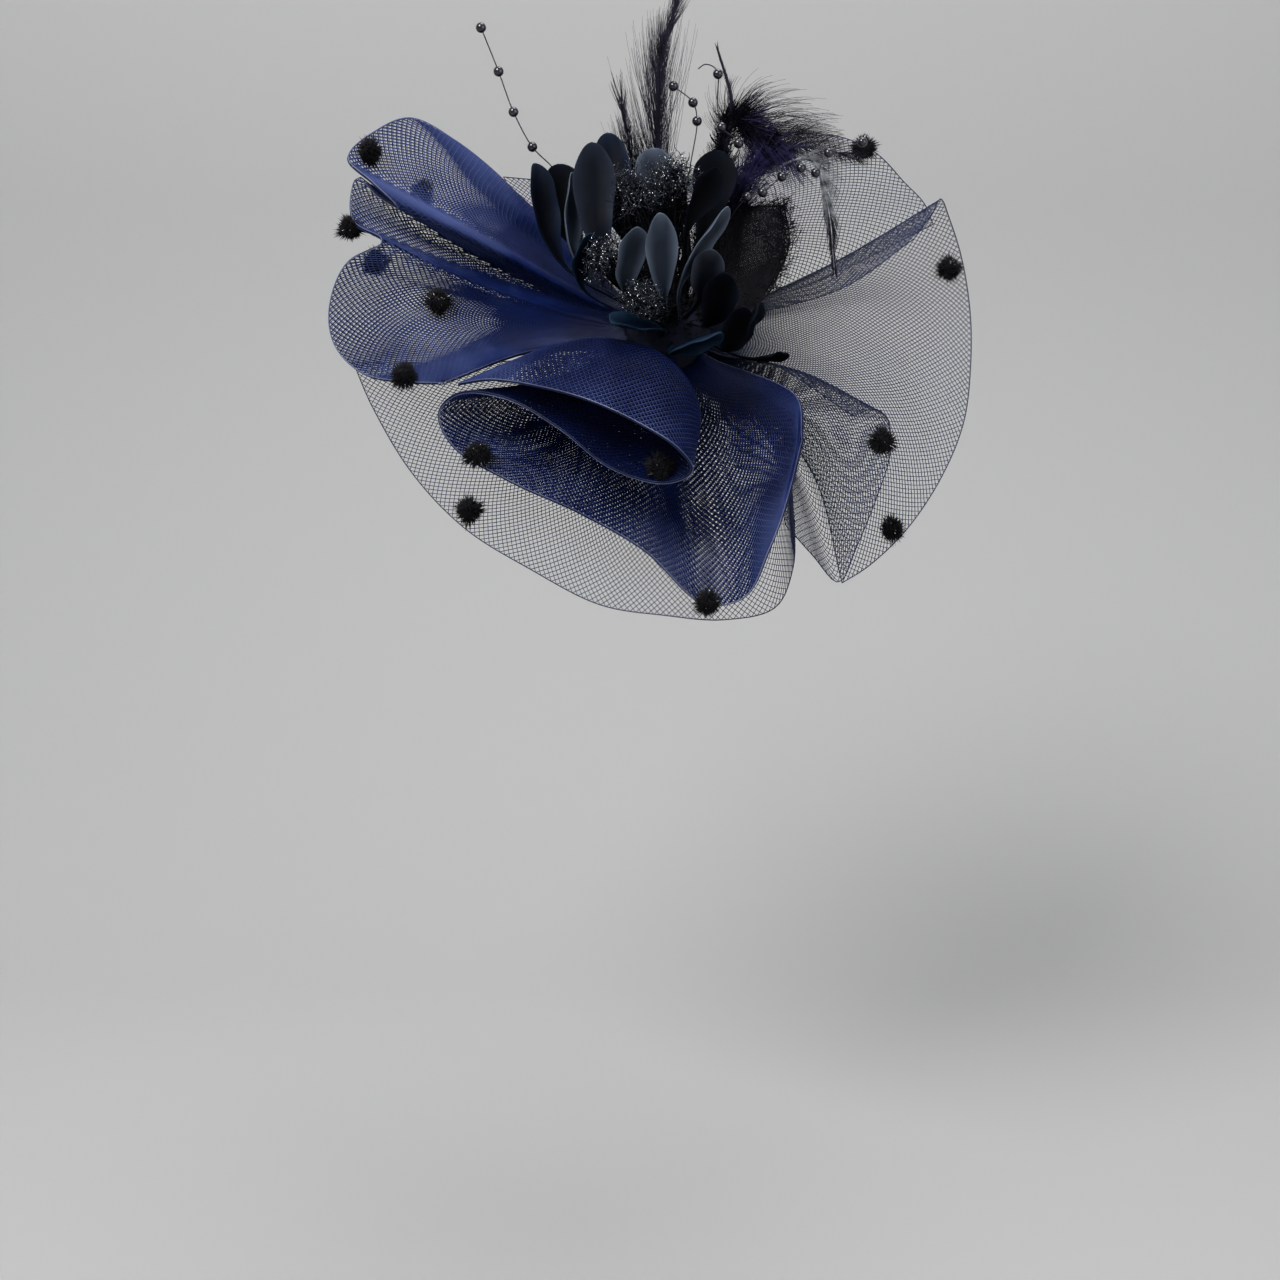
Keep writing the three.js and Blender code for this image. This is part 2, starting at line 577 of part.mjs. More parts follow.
const hairClip = () => {
  const half = { length: CLIP.length / 2, width: CLIP.width / 2 };
  const outline = new THREE.Shape();
  outline.moveTo(-half.length + half.width, -half.width);
  outline.lineTo(half.length - half.width, -half.width);
  outline.absarc(half.length - half.width, 0, half.width, -Math.PI / 2, Math.PI / 2);
  outline.lineTo(-half.length + half.width, half.width);
  outline.absarc(-half.length + half.width, 0, half.width, Math.PI / 2, (3 * Math.PI) / 2);
  const settings = { depth: CLIP.thickness, bevelEnabled: false, curveSegments: 4 };
  const geometry = new THREE.ExtrudeGeometry(outline, settings);
  return standOnBase(geometry.translate(0, 0, -GAP - CLIP.thickness));
};

// Materials
const cloth = (color, roughness = 0.8, metalness = 0) =>
  new THREE.MeshStandardMaterial({ color, roughness, metalness });
const MATERIALS = {
  felt: cloth('#14161f'),
  clip: cloth('#2a2b2f', 0.4, 0.8),
  net: cloth('#1c2b66', 0.5),
  chenille: cloth('#08090c', 0.95),
  petal: cloth('#1b2638', 0.6),
  glitter: cloth('#1a2033', 0.4, 0.3),
  lace: cloth('#0c0d12', 0.9),
  bead: cloth('#23242a', 0.2, 0.7),
  feather: cloth('#15142a', 0.8),
};

// The assembly. A piece that crowds the flower is cut back from the pieces put in before it, each grown by
// the gap, so that the pieces lie close and never touch.
const fascinator = new THREE.Group();
const put = (name, geometry, material) => {
  const mesh = new THREE.Mesh(geometry, material);
  mesh.name = name;
  fascinator.add(mesh);
};

put('base_disc', baseDisc(), MATERIALS.felt);
put('hair_clip', hairClip(), MATERIALS.clip);
put('flower_core', coreGeometry(0), MATERIALS.felt);

const grids = Object.fromEntries(Object.entries(RUFFLE).map(([name, ruffle]) => [name, ruffleGrid(ruffle)]));
for (const [name, grid] of Object.entries(grids)) put(name, wallGeometry(grid, NET_WALL), MATERIALS.net);

DOTS.forEach(({ name, ruffle, section, reach, side }, k) => {
  const column = 1 + reach * RUFFLE[ruffle].steps;
  const { place, normal } = onNet(grids[ruffle], section * ROWS_PER_SECTION, column);
  put(name, tuftGeometry(place, normal.multiplyScalar(side), TUFT_SEED + k), MATERIALS.chenille);
});

const keepOut = (grid, wall) => solidOf(wallGeometry(widened(grid, GAP), wall + 2 * GAP));
const crowd = [solidOf(coreGeometry(GAP)), ...Object.values(grids).map((grid) => keepOut(grid, NET_WALL))];
const crowdIn = (name, solid, grown, material) => {
  const clear = crowd.reduce((left, other) => left.subtract(other), solid);
  put(name, geometryOf(largest(clear)), material);
  crowd.push(grown.add(solid));
};

for (const [name, feather] of Object.entries(FEATHERS)) {
  const grid = featherGrid(feather);
  crowdIn(name, solidOf(wallGeometry(grid, VANE_WALL)), keepOut(grid, VANE_WALL), MATERIALS.feather);
}
for (const [name, spray] of Object.entries(SPRAYS))
  crowdIn(name, fuse(sprayParts(spray, 0)), fuse(sprayParts(spray, GAP)), MATERIALS.bead);
PETALS.forEach((petal, k) => {
  const grid = petalGrid(petal);
  const solid = solidOf(wallGeometry(grid, PETAL_WALL));
  crowdIn('petal_' + (k + 1), solid, keepOut(grid, PETAL_WALL), MATERIALS.petal);
});
STAMENS.forEach((cluster, k) => {
  const [solid, grown] = [0, GAP].map((grow) => fuse(stamenCluster(cluster, STAMEN_SEED + k, grow)));
  crowdIn(cluster.name, solid, grown, MATERIALS.glitter);
});
const laceGrid = LACE_RIGHT.map((row) => row.map((p) => new THREE.Vector3(...p)));
crowdIn('lace_right', solidOf(wallGeometry(laceGrid, NET_WALL)), keepOut(laceGrid, NET_WALL), MATERIALS.lace);

export default fascinator;
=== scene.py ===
"""The look of a dress fascinator: crinoline net with chenille dots round a flower, beads and feathers.

Everything is in metres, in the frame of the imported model. The tables are in millimetres and are turned
into metres as they are read.
"""

import json
import math

import bpy
import numpy as np
from mathutils.kdtree import KDTree
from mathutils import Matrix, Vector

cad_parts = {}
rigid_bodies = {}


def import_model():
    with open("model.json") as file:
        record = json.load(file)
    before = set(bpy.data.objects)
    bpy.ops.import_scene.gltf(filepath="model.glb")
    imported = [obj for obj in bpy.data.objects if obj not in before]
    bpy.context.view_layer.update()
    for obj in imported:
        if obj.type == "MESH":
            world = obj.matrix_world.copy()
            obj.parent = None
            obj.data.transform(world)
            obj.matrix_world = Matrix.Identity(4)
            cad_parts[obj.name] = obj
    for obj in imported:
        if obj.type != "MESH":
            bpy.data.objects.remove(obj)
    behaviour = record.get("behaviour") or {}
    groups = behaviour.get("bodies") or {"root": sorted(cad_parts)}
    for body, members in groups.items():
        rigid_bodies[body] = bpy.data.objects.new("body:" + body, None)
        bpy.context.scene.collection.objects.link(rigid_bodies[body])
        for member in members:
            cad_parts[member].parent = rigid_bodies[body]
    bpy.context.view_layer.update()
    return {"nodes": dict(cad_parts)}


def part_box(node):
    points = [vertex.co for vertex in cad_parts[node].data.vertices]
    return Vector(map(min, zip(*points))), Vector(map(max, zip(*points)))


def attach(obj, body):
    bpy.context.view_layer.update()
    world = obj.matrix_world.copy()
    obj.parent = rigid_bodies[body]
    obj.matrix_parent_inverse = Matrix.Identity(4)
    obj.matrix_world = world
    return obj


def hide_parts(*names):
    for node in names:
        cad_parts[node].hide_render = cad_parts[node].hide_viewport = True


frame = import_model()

MM = 0.001
rng = np.random.default_rng(7)

# Driving sizes, the same as the solids'
SEAT_TILT = math.radians(50)
BASE_RADIUS = 26 * MM
BASE_THICKNESS = 2.4 * MM
GATHER_RADIUS = 20 * MM
SHOULDER_RADIUS = 29 * MM
BEAD_RADIUS = 2.3 * MM
BEAD_WIRE_RADIUS = 0.28 * MM
PETAL_ROOT_RADIUS = 9 * MM

# The net: nylon threads on the bias between a gathered edge and a selvedge
RIBBON_WIDTH = 150 * MM
THREAD_PITCH = 1.95 * MM
THREAD_WIDTH = 0.35 * MM
UNDER_WIDTH = 0.55 * MM  # in the plies behind
SELVEDGE_RADIUS = 0.26 * MM

ACROSS = np.array([1.0, 0.0, 0.0])
UPHILL = np.array([0.0, math.sin(SEAT_TILT), math.cos(SEAT_TILT)])
OUTWARD = np.array([0.0, -math.cos(SEAT_TILT), math.sin(SEAT_TILT)])
FRONT = np.array([0.0, -1.0, 0.0])


# Geometry helpers
def on_base(turn, out, lift):
    """A place by its bearing round the base in degrees, its distance out and its lift."""
    angle = math.radians(turn)
    return out * math.cos(angle) * ACROSS + out * math.sin(angle) * UPHILL + lift * OUTWARD


def unit(vectors):
    return vectors / np.maximum(np.linalg.norm(vectors, axis=-1, keepdims=True), 1e-12)


def spline(points, at):
    """Centripetal Catmull-Rom through points (n, ..., 3), read at shares from 0 to 1 of their number."""
    points = np.asarray(points, float)
    n = len(points)
    ends = (2 * points[:1] - points[1:2], 2 * points[-1:] - points[-2:-1])
    padded = np.concatenate([ends[0], points, ends[1]])
    spot = np.clip(np.asarray(at, float), 0, 1) * (n - 1)
    whole = np.minimum(spot.astype(int), n - 2)
    share = (spot - whole).reshape((-1,) + (1,) * (points.ndim - 1))
    a, b, c, d = (padded[whole + k] for k in range(4))
    spans = ((a, b), (b, c), (c, d))
    ab, bc, cd = (np.sqrt(np.linalg.norm(q - p, axis=-1, keepdims=True)) for p, q in spans)
    bc = np.where(bc < 1e-5, 1.0, bc)
    ab = np.where(ab < 1e-5, bc, ab)
    cd = np.where(cd < 1e-5, bc, cd)
    slope_b = ((b - a) / ab - (c - a) / (ab + bc) + (c - b) / bc) * bc
    slope_c = ((c - b) / bc - (d - b) / (bc + cd) + (d - c) / cd) * bc
    return (b + slope_b * share + (3 * (c - b) - 2 * slope_b - slope_c) * share ** 2
            + (2 * (b - c) + slope_b + slope_c) * share ** 3)


def lengths(points):
    """Running length along the first axis."""
    steps = np.linalg.norm(np.diff(points, axis=0), axis=-1)
    return np.concatenate([np.zeros((1,) + steps.shape[1:]), np.cumsum(steps, axis=0)])


def evenly(points, count):
    """The same line with its points spaced evenly along it."""
    run = lengths(points)
    marks = np.linspace(0, run[-1], count)
    return np.stack([np.interp(marks, run, points[:, k]) for k in range(3)], axis=-1)


def added(name, data):
    """A new object in the scene."""
    thing = bpy.data.objects.new(name, data)
    bpy.context.scene.collection.objects.link(thing)
    return thing


def mesh_object(name, vertices, blocks, materials, slots=0):
    """A smooth piece: blocks are arrays of faces (n, corners), slots the faces' materials."""
    mesh = bpy.data.meshes.new(name)
    corners = np.concatenate([b.ravel() for b in blocks]).astype(np.int32)
    sizes = np.concatenate([np.full(len(b), b.shape[1]) for b in blocks]).astype(np.int32)
    starts = np.concatenate([[0], np.cumsum(sizes)[:-1]]).astype(np.int32)
    mesh.vertices.add(len(vertices))
    mesh.vertices.foreach_set("co", np.asarray(vertices, np.float32).ravel())
    mesh.loops.add(len(corners))
    mesh.loops.foreach_set("vertex_index", corners)
    mesh.polygons.add(len(sizes))
    mesh.polygons.foreach_set("loop_start", starts)
    mesh.polygons.foreach_set("use_smooth", np.ones(len(sizes), bool))
    mesh.polygons.foreach_set("material_index", np.broadcast_to(slots, len(sizes)).astype(np.int32))
    mesh.update(calc_edges=True)
    for material in materials:
        mesh.materials.append(material)
    return added(name, mesh)


def stacked(rings, around):
    """Faces that join rings of vertices in turn, and caps for the first and the last."""
    rows, k = np.arange(rings - 1)[:, None] * around, np.arange(around)
    after = (k + 1) % around
    quads = np.stack([rows + k, rows + after, rows + around + after, rows + around + k], axis=-1)
    return [quads.reshape(-1, 4), k[None, ::-1], (rings - 1) * around + k[None]]


def tubes(lines, radius, sides, facing, capped=True):
    """Strands along lines (n, points, 3), with a radius in all, per line or per point."""
    lines = np.asarray(lines, float)
    count, along = lines.shape[:2]
    tangent = unit(np.gradient(lines, axis=1))
    first = unit(np.cross(tangent, np.broadcast_to(facing, lines.shape)))
    second = np.cross(tangent, first)
    if np.ndim(radius):
        radius = np.asarray(radius, float).reshape((count, -1))
    radius = np.broadcast_to(radius, (count, along))[..., None, None]
    angle = 2 * math.pi * np.arange(sides) / sides
    ring = (np.cos(angle)[:, None] * first[:, :, None] + np.sin(angle)[:, None] * second[:, :, None])
    vertices = (lines[:, :, None] + radius * ring).reshape(-1, 3)
    offsets = np.arange(count)[:, None, None] * along * sides
    faces = [(offsets + block).reshape(-1, block.shape[1]) for block in stacked(along, sides)]
    return vertices, faces if capped else faces[:1]


def square_to(ways):
    """A unit direction at right angles to each way."""
    least = np.eye(3)[np.argmin(np.abs(ways), axis=-1)]
    return unit(np.cross(ways, least))


def spikes(roots, tips, width):
    """Thin closed pyramids from their roots to their tips."""
    way = unit(tips - roots)
    first = square_to(way)
    second = np.cross(way, first)
    angle = 2 * math.pi * np.arange(3) / 3
    ring = np.cos(angle)[:, None] * first[:, None] + np.sin(angle)[:, None] * second[:, None]
    foot = roots[:, None] + ring * np.reshape(width, (-1, 1, 1)) / 2
    vertices = np.concatenate([foot, tips[:, None]], axis=1)
    faces = np.arange(len(roots))[:, None, None] * 4 + [[0, 1, 3], [1, 2, 3], [2, 0, 3], [2, 1, 0]]
    return vertices.reshape(-1, 3), [faces.reshape(-1, 3)]


def globes(centres, radius, around, rows):
    """Smooth balls, each closed by a point at both poles."""
    lift = math.pi * np.arange(1, rows) / rows
    turn = 2 * math.pi * np.arange(around) / around
    ring = np.stack([np.sin(lift)[:, None] * np.cos(turn), np.sin(lift)[:, None] * np.sin(turn),
                     np.cos(lift)[:, None] * np.ones(around)], axis=-1).reshape(-1, 3)
    ball = np.concatenate([[[0, 0, 1]], ring, [[0, 0, -1]]]) * radius
    k = np.arange(around)
    after = (k + 1) % around
    last = len(ball) - 1
    sides = [np.stack([1 + r * around + k, 1 + (r + 1) * around + k, 1 + (r + 1) * around + after,
                       1 + r * around + after], axis=-1) for r in range(rows - 2)]
    tops = np.stack([np.zeros(around, int), 1 + k, 1 + after], axis=-1)
    bottoms = np.stack([np.full(around, last), last - around + after, last - around + k], axis=-1)
    offsets = np.arange(len(centres))[:, None, None] * len(ball)
    vertices = (np.asarray(centres)[:, None] + ball).reshape(-1, 3)
    return vertices, [(np.concatenate(sides) + offsets).reshape(-1, 4),
                      (np.concatenate([tops, bottoms]) + offsets).reshape(-1, 3)]


def joined(parts):
    """Several (vertices, faces) as one."""
    vertices, faces, offset = [], [], 0
    for v, blocks in parts:
        vertices.append(v)
        faces += [b + offset for b in blocks]
        offset += len(v)
    return np.concatenate(vertices), faces


def dress(piece, node):
    """Set a piece on the root body in place of the solid that it dresses."""
    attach(piece, "root")
    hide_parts(node)


def several(name, groups):
    """One piece of several (material, parts), each part (vertices, faces)."""
    slots = np.concatenate([np.full(len(block), k) for k, (_, parts) in enumerate(groups)
                            for part in parts for block in part[1]])
    everything = joined(part for _, parts in groups for part in parts)
    return mesh_object(name, *everything, [material for material, _ in groups], slots)


def point_of(row, name):
    """A named point of a table's row, from its X, Y and Z columns."""
    return np.array([row[name + axis] for axis in "XYZ"]) * MM


# Materials
class Nodes:
    """A material's node tree with short calls to add and link."""

    def __init__(self, name, rough, gloss=0.5, **values):
        self.material = bpy.data.materials.new(name)
        self.material.use_nodes = True
        self.tree = self.material.node_tree
        self.shader = self.tree.nodes["Principled BSDF"]
        self.set(self.shader, Roughness=rough, Specular_IOR_Level=gloss, **values)

    def set(self, node, **values):
        """A value goes to the input of that name, or else to the node's own setting."""
        for key, value in values.items():
            socket = node.inputs.get(key.replace("_", " "))
            if socket is not None:
                socket.default_value = value
            else:
                setattr(node, key, value)

    def add(self, kind, **values):
        node = self.tree.nodes.new(kind)
        self.set(node, **values)
        return node

    def link(self, out, into):
        self.tree.links.new(out, into)

    def paint(self, colour):
        self.link(colour, self.shader.inputs["Base Color"])
        return self.material

    def place(self):
        return self.add("ShaderNodeTexCoord").outputs["Object"]

    def noise(self, scale, detail):
        texture = self.add("ShaderNodeTexNoise", Scale=scale, Detail=detail)
        self.link(self.place(), texture.inputs["Vector"])
        return texture.outputs["Fac"]

    def distance(self):
        """How far a place lies from the middle of the frame, in metres."""
        away = self.add("ShaderNodeVectorMath", operation="LENGTH")
        self.link(self.place(), away.inputs[0])
        return away.outputs["Value"]

    def ramp(self, value, stops):
        node = self.add("ShaderNodeValToRGB")
        while len(node.color_ramp.elements) < len(stops):
            node.color_ramp.elements.new(0.5)
        for element, (position, colour) in zip(node.color_ramp.elements, stops):
            element.position = position
            element.color = (*colour, 1)
        self.link(value, node.inputs["Fac"])
        return node.outputs["Color"]

    def bump(self, height, strength, distance):
        node = self.add("ShaderNodeBump", Strength=strength, Distance=distance)
        self.link(height, node.inputs["Height"])
        self.link(node.outputs["Normal"], self.shader.inputs["Normal"])


def mottled(name, dark, light, scale=60, bump=0.0, **values):
    """A colour that drifts between two tones, with a fine grain where bump is given in metres."""
    made = Nodes(name, **values)
    if bump:
        made.bump(made.noise(scale * 22, 2), 0.6, bump)
    return made.paint(made.ramp(made.noise(scale, 3), [(0.32, dark), (0.68, light)]))


def petal_material(name, heart, edge, **values):
    """A petal is deepest along its middle and lighter towards its rim and tip, where a highlight is painted
    in.
    """
    made = Nodes(name, **values)
    made.bump(made.noise(900, 3), 0.35, 0.00012)
    place = made.add("ShaderNodeAttribute", attribute_name="rim_highlight")
    mixed = made.add("ShaderNodeMath", operation="ADD")
    noise = made.add("ShaderNodeMath", operation="MULTIPLY_ADD")
    made.link(made.noise(70, 4), noise.inputs[0])
    noise.inputs[1].default_value = 0.5
    noise.inputs[2].default_value = -0.25
    made.link(place.outputs["Fac"], mixed.inputs[0])
    made.link(noise.outputs[0], mixed.inputs[1])
    return made.paint(made.ramp(mixed.outputs[0], [(0.1, heart), (1.0, edge)]))


# Painted shade on the net: the thread darkens towards the middle of the frame, where the gathers lie under
# the flower, darkest at the gather itself, with a random drift in tone.
SHADE_FROM = 50 * MM
SHADE_TO = 190 * MM
SHADE_AT_ROOT = 0.4
TONE_DRIFT = 0.9


def shaded_by_gathers(name, gathered, free, **values):
    """Net thread with painted shade: deepest in tone by the gathers under the flower, paler towards the free
    edge.
    """
    made = Nodes(name, **values)
    share = made.add("ShaderNodeMapRange", From_Min=SHADE_FROM, From_Max=SHADE_TO)
    made.link(made.distance(), share.inputs["Value"])
    drift = made.add("ShaderNodeMath", operation="MULTIPLY_ADD")
    made.link(made.noise(38, 3), drift.inputs[0])
    drift.inputs[1].default_value = TONE_DRIFT
    made.link(share.outputs["Result"], drift.inputs[2])
    root = tuple(SHADE_AT_ROOT * tone for tone in gathered)
    return made.paint(made.ramp(drift.outputs[0], [(0.38, root), (0.68, gathered), (1.0, free)]))


# Thread colours, each with painted shade by the gathers.
NET = shaded_by_gathers("net_thread", (0.002, 0.007, 0.04), (0.009, 0.017, 0.07), rough=0.36, gloss=0.3)
# Lighter copy of the thread with painted light, for the lit ply.
NET_LIT = shaded_by_gathers("net_lit", (0.004, 0.012, 0.075), (0.038, 0.057, 0.175), rough=0.38, gloss=0.13)
# Darker copy of the thread with painted shade, for the plies behind.
NET_SHADED = shaded_by_gathers("net_shaded", (0.0004, 0.0025, 0.024), (0.0016, 0.007, 0.05), rough=0.5, gloss=0.1)
HEM = shaded_by_gathers("net_hem", (0.002, 0.006, 0.03), (0.005, 0.012, 0.05), rough=0.45, gloss=0.3)
# Lighter copy of the hem with painted light, for the lit ply's edges.
HEM_LIT = shaded_by_gathers("net_hem_lit", (0.02, 0.03, 0.1), (0.1, 0.115, 0.21), rough=0.35, gloss=0.4)
FELT = mottled("felt", (0.006, 0.007, 0.014), (0.014, 0.016, 0.03), bump=0.0002, rough=0.95, gloss=0.1)
CLIP = mottled("clip_metal", (0.05, 0.05, 0.06), (0.09, 0.09, 0.1), rough=0.35, Metallic=0.9)
PILE = mottled("chenille", (0.0015, 0.0015, 0.002), (0.006, 0.006, 0.009), 300, rough=0.75, gloss=0.2)
GLINT = mottled("glint", (0.6, 0.62, 0.66), (0.85, 0.87, 0.9), rough=0.22, Metallic=0.9)
FILAMENT = mottled("stamen", (0.001, 0.0015, 0.004), (0.012, 0.017, 0.032), 220, rough=0.28, gloss=0.45)
STEM = mottled("stem", (0.0006, 0.0008, 0.0015), (0.003, 0.004, 0.007), 120, rough=0.6, gloss=0.1)
LACE = mottled("lace", (0.001, 0.001, 0.002), (0.005, 0.005, 0.008), 120, rough=0.7, gloss=0.1)
BEAD = mottled("bead", (0.012, 0.012, 0.018), (0.03, 0.03, 0.04), rough=0.12, Metallic=0.55,
               Coat_Weight=0.6, Coat_Roughness=0.05)
WIRE = mottled("wire", (0.02, 0.02, 0.025), (0.05, 0.05, 0.06), rough=0.35, Metallic=0.7)
BARB = mottled("barb", (0.002, 0.002, 0.005), (0.012, 0.011, 0.026), 90, rough=0.55, gloss=0.15)
PLUME = mottled("plume", (0.005, 0.005, 0.011), (0.026, 0.024, 0.05), 90, rough=0.5, gloss=0.2)
DOWN = mottled("down", (0.004, 0.004, 0.016), (0.034, 0.03, 0.11), rough=0.6, gloss=0.15)
FLUFF = mottled("fluff", (0.0005, 0.0006, 0.001), (0.003, 0.003, 0.006), 90, rough=0.8, gloss=0.05)
# Dark glossy barbs streaked with pale painted sheen.
BARB_PAINTED_SHEEN = mottled("barb_painted_sheen", (0.008, 0.009, 0.014), (0.3, 0.31, 0.34), 240, rough=0.24, gloss=0.7)
PETAL_TONES = {
    tone: petal_material("petal_" + tone, heart, edge, rough=rough, gloss=gloss)
    for tone, heart, edge, rough, gloss in (
        ("navy", (0.0005, 0.0012, 0.004), (0.006, 0.012, 0.029), 0.45, 0.08),
        ("slate", (0.0015, 0.0025, 0.006), (0.011, 0.016, 0.029), 0.5, 0.07),
        ("pale", (0.01, 0.015, 0.025), (0.08, 0.1, 0.14), 0.5, 0.1),
        ("dusk", (0.004, 0.005, 0.009), (0.034, 0.04, 0.058), 0.5, 0.08),
        ("teal", (0.0007, 0.0025, 0.008), (0.008, 0.022, 0.043), 0.45, 0.08),
        ("dark", (0.0003, 0.0005, 0.0012), (0.003, 0.0045, 0.009), 0.6, 0.03),
    )
}


# The net ruffle. A row is one section, from the gather on the base over a crest to the free edge.
SECTION = ("turn", "lift", "crestX", "crestY", "crestZ", "rimX", "rimY", "rimZ")
RUFFLE = {
    "crin_front_roll": [
        (206, 13, -58, -38, 1, -94, -52, -12),
        (212, 13.5, -51, -48, 5, -78, -66, -9),
        (222, 14, -35, -56, 8, -56, -80, -11),
        (238, 14.5, -20, -62, 7, -34, -92, -16),
        (256, 14.5, -5, -66, 2, -13, -100, -25),
        (270, 14, 7, -68, -9, 3, -104, -35),
        (278, 13, 13, -64, -24, 9, -99, -45),
        (276, 11, 8, -56, -27, -3, -92, -51),
        (262, 10, -6, -49, -23, -26, -86, -45),
        (240, 9.5, -27, -44, -17, -48, -78, -29),
        (221, 9.3, -48, -40, -14, -72, -66, -17),
        (211, 9.2, -65, -36, -14, -94, -56, -16),
        (207, 8.4, -71, -34, -21, -103, -52, -25),
        (211, 6.8, -65, -34, -32, -97, -54, -39),
        (223, 6.3, -51, -38, -38, -71, -62, -54),
        (240, 6.2, -33, -42, -45, -40, -70, -67),
        (260, 6.2, -12, -48, -48, -11, -76, -83),
        (277, 6.2, 9, -54, -50, 15, -80, -106),
        (292, 6.5, 29, -56, -48, 33, -80, -103),
        (304, 7.5, 47, -54, -41, 44, -76, -82),
        (313, 9, 56, -48, -30, 52, -68, -62),
        (320, 10.5, 57, -42, -18, 59, -60, -36),
    ],
    "crin_brim": [
        (188, 3.4, -83, -12, -5, -146, -14, -5),
        (198, 3.4, -78, -20, -15, -137, -22, -24),
        (210, 3.4, -68, -26, -30, -118, -32, -54),
        (224, 3.4, -54, -31, -44, -93, -44, -78),
        (239, 3.4, -38, -36, -55, -63, -54, -95),
        (254, 3.4, -20, -40, -61, -31, -62, -110),
        (269, 3.4, -2, -42, -63, -2, -66, -114),
        (285, 3.4, 19, -42, -61, 25, -66, -116),
        (298, 3.9, 35, -40, -54, 48, -62, -111),
        (310, 5.2, 46, -38, -43, 56, -56, -94),
        (320, 6.6, 51, -34, -30, 57, -48, -75),
    ],
    "crin_flap": [
        (329, 10.5, 48, -34, -5, 83, -42, -27),
        (334, 9.6, 57, -30, -7, 93, -40, -24),
        (337, 7.6, 66, -25, -11, 100, -34, -30),
        (334, 6, 69, -26, -21, 101, -36, -45),
        (328, 5, 67, -28, -32, 95, -40, -64),
        (322, 4.1, 63, -29, -43, 86, -44, -86),
        (318, 3.6, 58, -27, -48, 78, -44, -103),
        (316, 3.4, 51, -24, -44, 66, -39, -91),
        (315, 3.4, 46, -21, -37, 54, -34, -78),
    ],
    "crin_fan": [
        (21, 9.4, 83, 18, 28, 118, 28, 51),
        (26, 9.2, 81, 22, 35, 127, 32, 63),
        (31, 8, 80, 30, 40, 132, 40, 70),
        (33, 6, 83, 38, 38, 138, 50, 61),
        (29, 4.4, 89, 40, 30, 145, 52, 42),
        (23, 3.6, 94, 36, 20, 149, 46, 17),
        (15, 3.4, 96, 28, 6, 149, 38, -7),
        (4, 3.4, 96, 18, -11, 145, 28, -36),
        (-7, 3.4, 93, 8, -26, 133, 16, -62),
        (-18, 3.4, 86, -2, -42, 115, 4, -86),
        (-28, 3.4, 77, -10, -53, 96, -6, -102),
        (-34, 3.4, 67, -14, -55, 83, -12, -109),
    ],
    "crin_back": [
        (39, 3.4, 80, 50, 33, 132, 62, 58),
        (44, 3.4, 70, 52, 41, 128, 66, 68),
        (50, 3.4, 62, 56, 49, 119, 72, 78),
        (57, 3.4, 54, 60, 58, 103, 78, 94),
        (66, 3.4, 39, 64, 63, 78, 86, 102),
        (79, 3.4, 18, 66, 64, 48, 92, 90),
        (94, 3.4, -6, 64, 63, 15, 94, 81),
        (108, 3.4, -27, 60, 59, -21, 90, 78),
        (122, 3.4, -47, 54, 53, -53, 82, 79),
        (133, 3.4, -60, 46, 45, -81, 70, 81),
    ],
    "crin_left_loop": [
        (134, 12, -38, 18, 40, -56, 30, 52),
        (138, 13, -51, 16, 53, -77, 26, 77),
        (142, 14, -66, 12, 62, -100, 20, 96),
        (147, 15, -79, 8, 64, -120, 12, 106),
        (152, 16, -87, 2, 62, -136, 2, 99),
        (157, 17, -92, -8, 57, -146, -12, 87),
        (161, 17, -86, -14, 51, -134, -20, 76),
        (163, 16.5, -82, -14, 46, -122, -20, 65),
        (165, 15.5, -86, -4, 44, -134, -5, 71),
        (166, 14.8, -92, 1, 43, -144, 2, 79),
        (168, 14.2, -95, -2, 39, -147, -2, 68),
        (171, 13.5, -94, -6, 35, -144, -9, 58),
        (174, 13, -91, -12, 31, -130, -20, 50),
        (178, 13, -96, -12, 25, -148, -14, 40),
        (182, 13, -95, -16, 17, -156, -16, 20),
        (187, 13, -90, -23, 10, -153, -22, 3),
        (193, 13, -83, -29, 4, -139, -30, -9),
        (198, 13, -73, -34, 1, -118, -40, -12),
        (202, 13, -64, -36, 1, -101, -47, -12),
    ],
}

SURFACE_STEP = 3 * MM  # along the free edge
SECTION_STEPS = 48


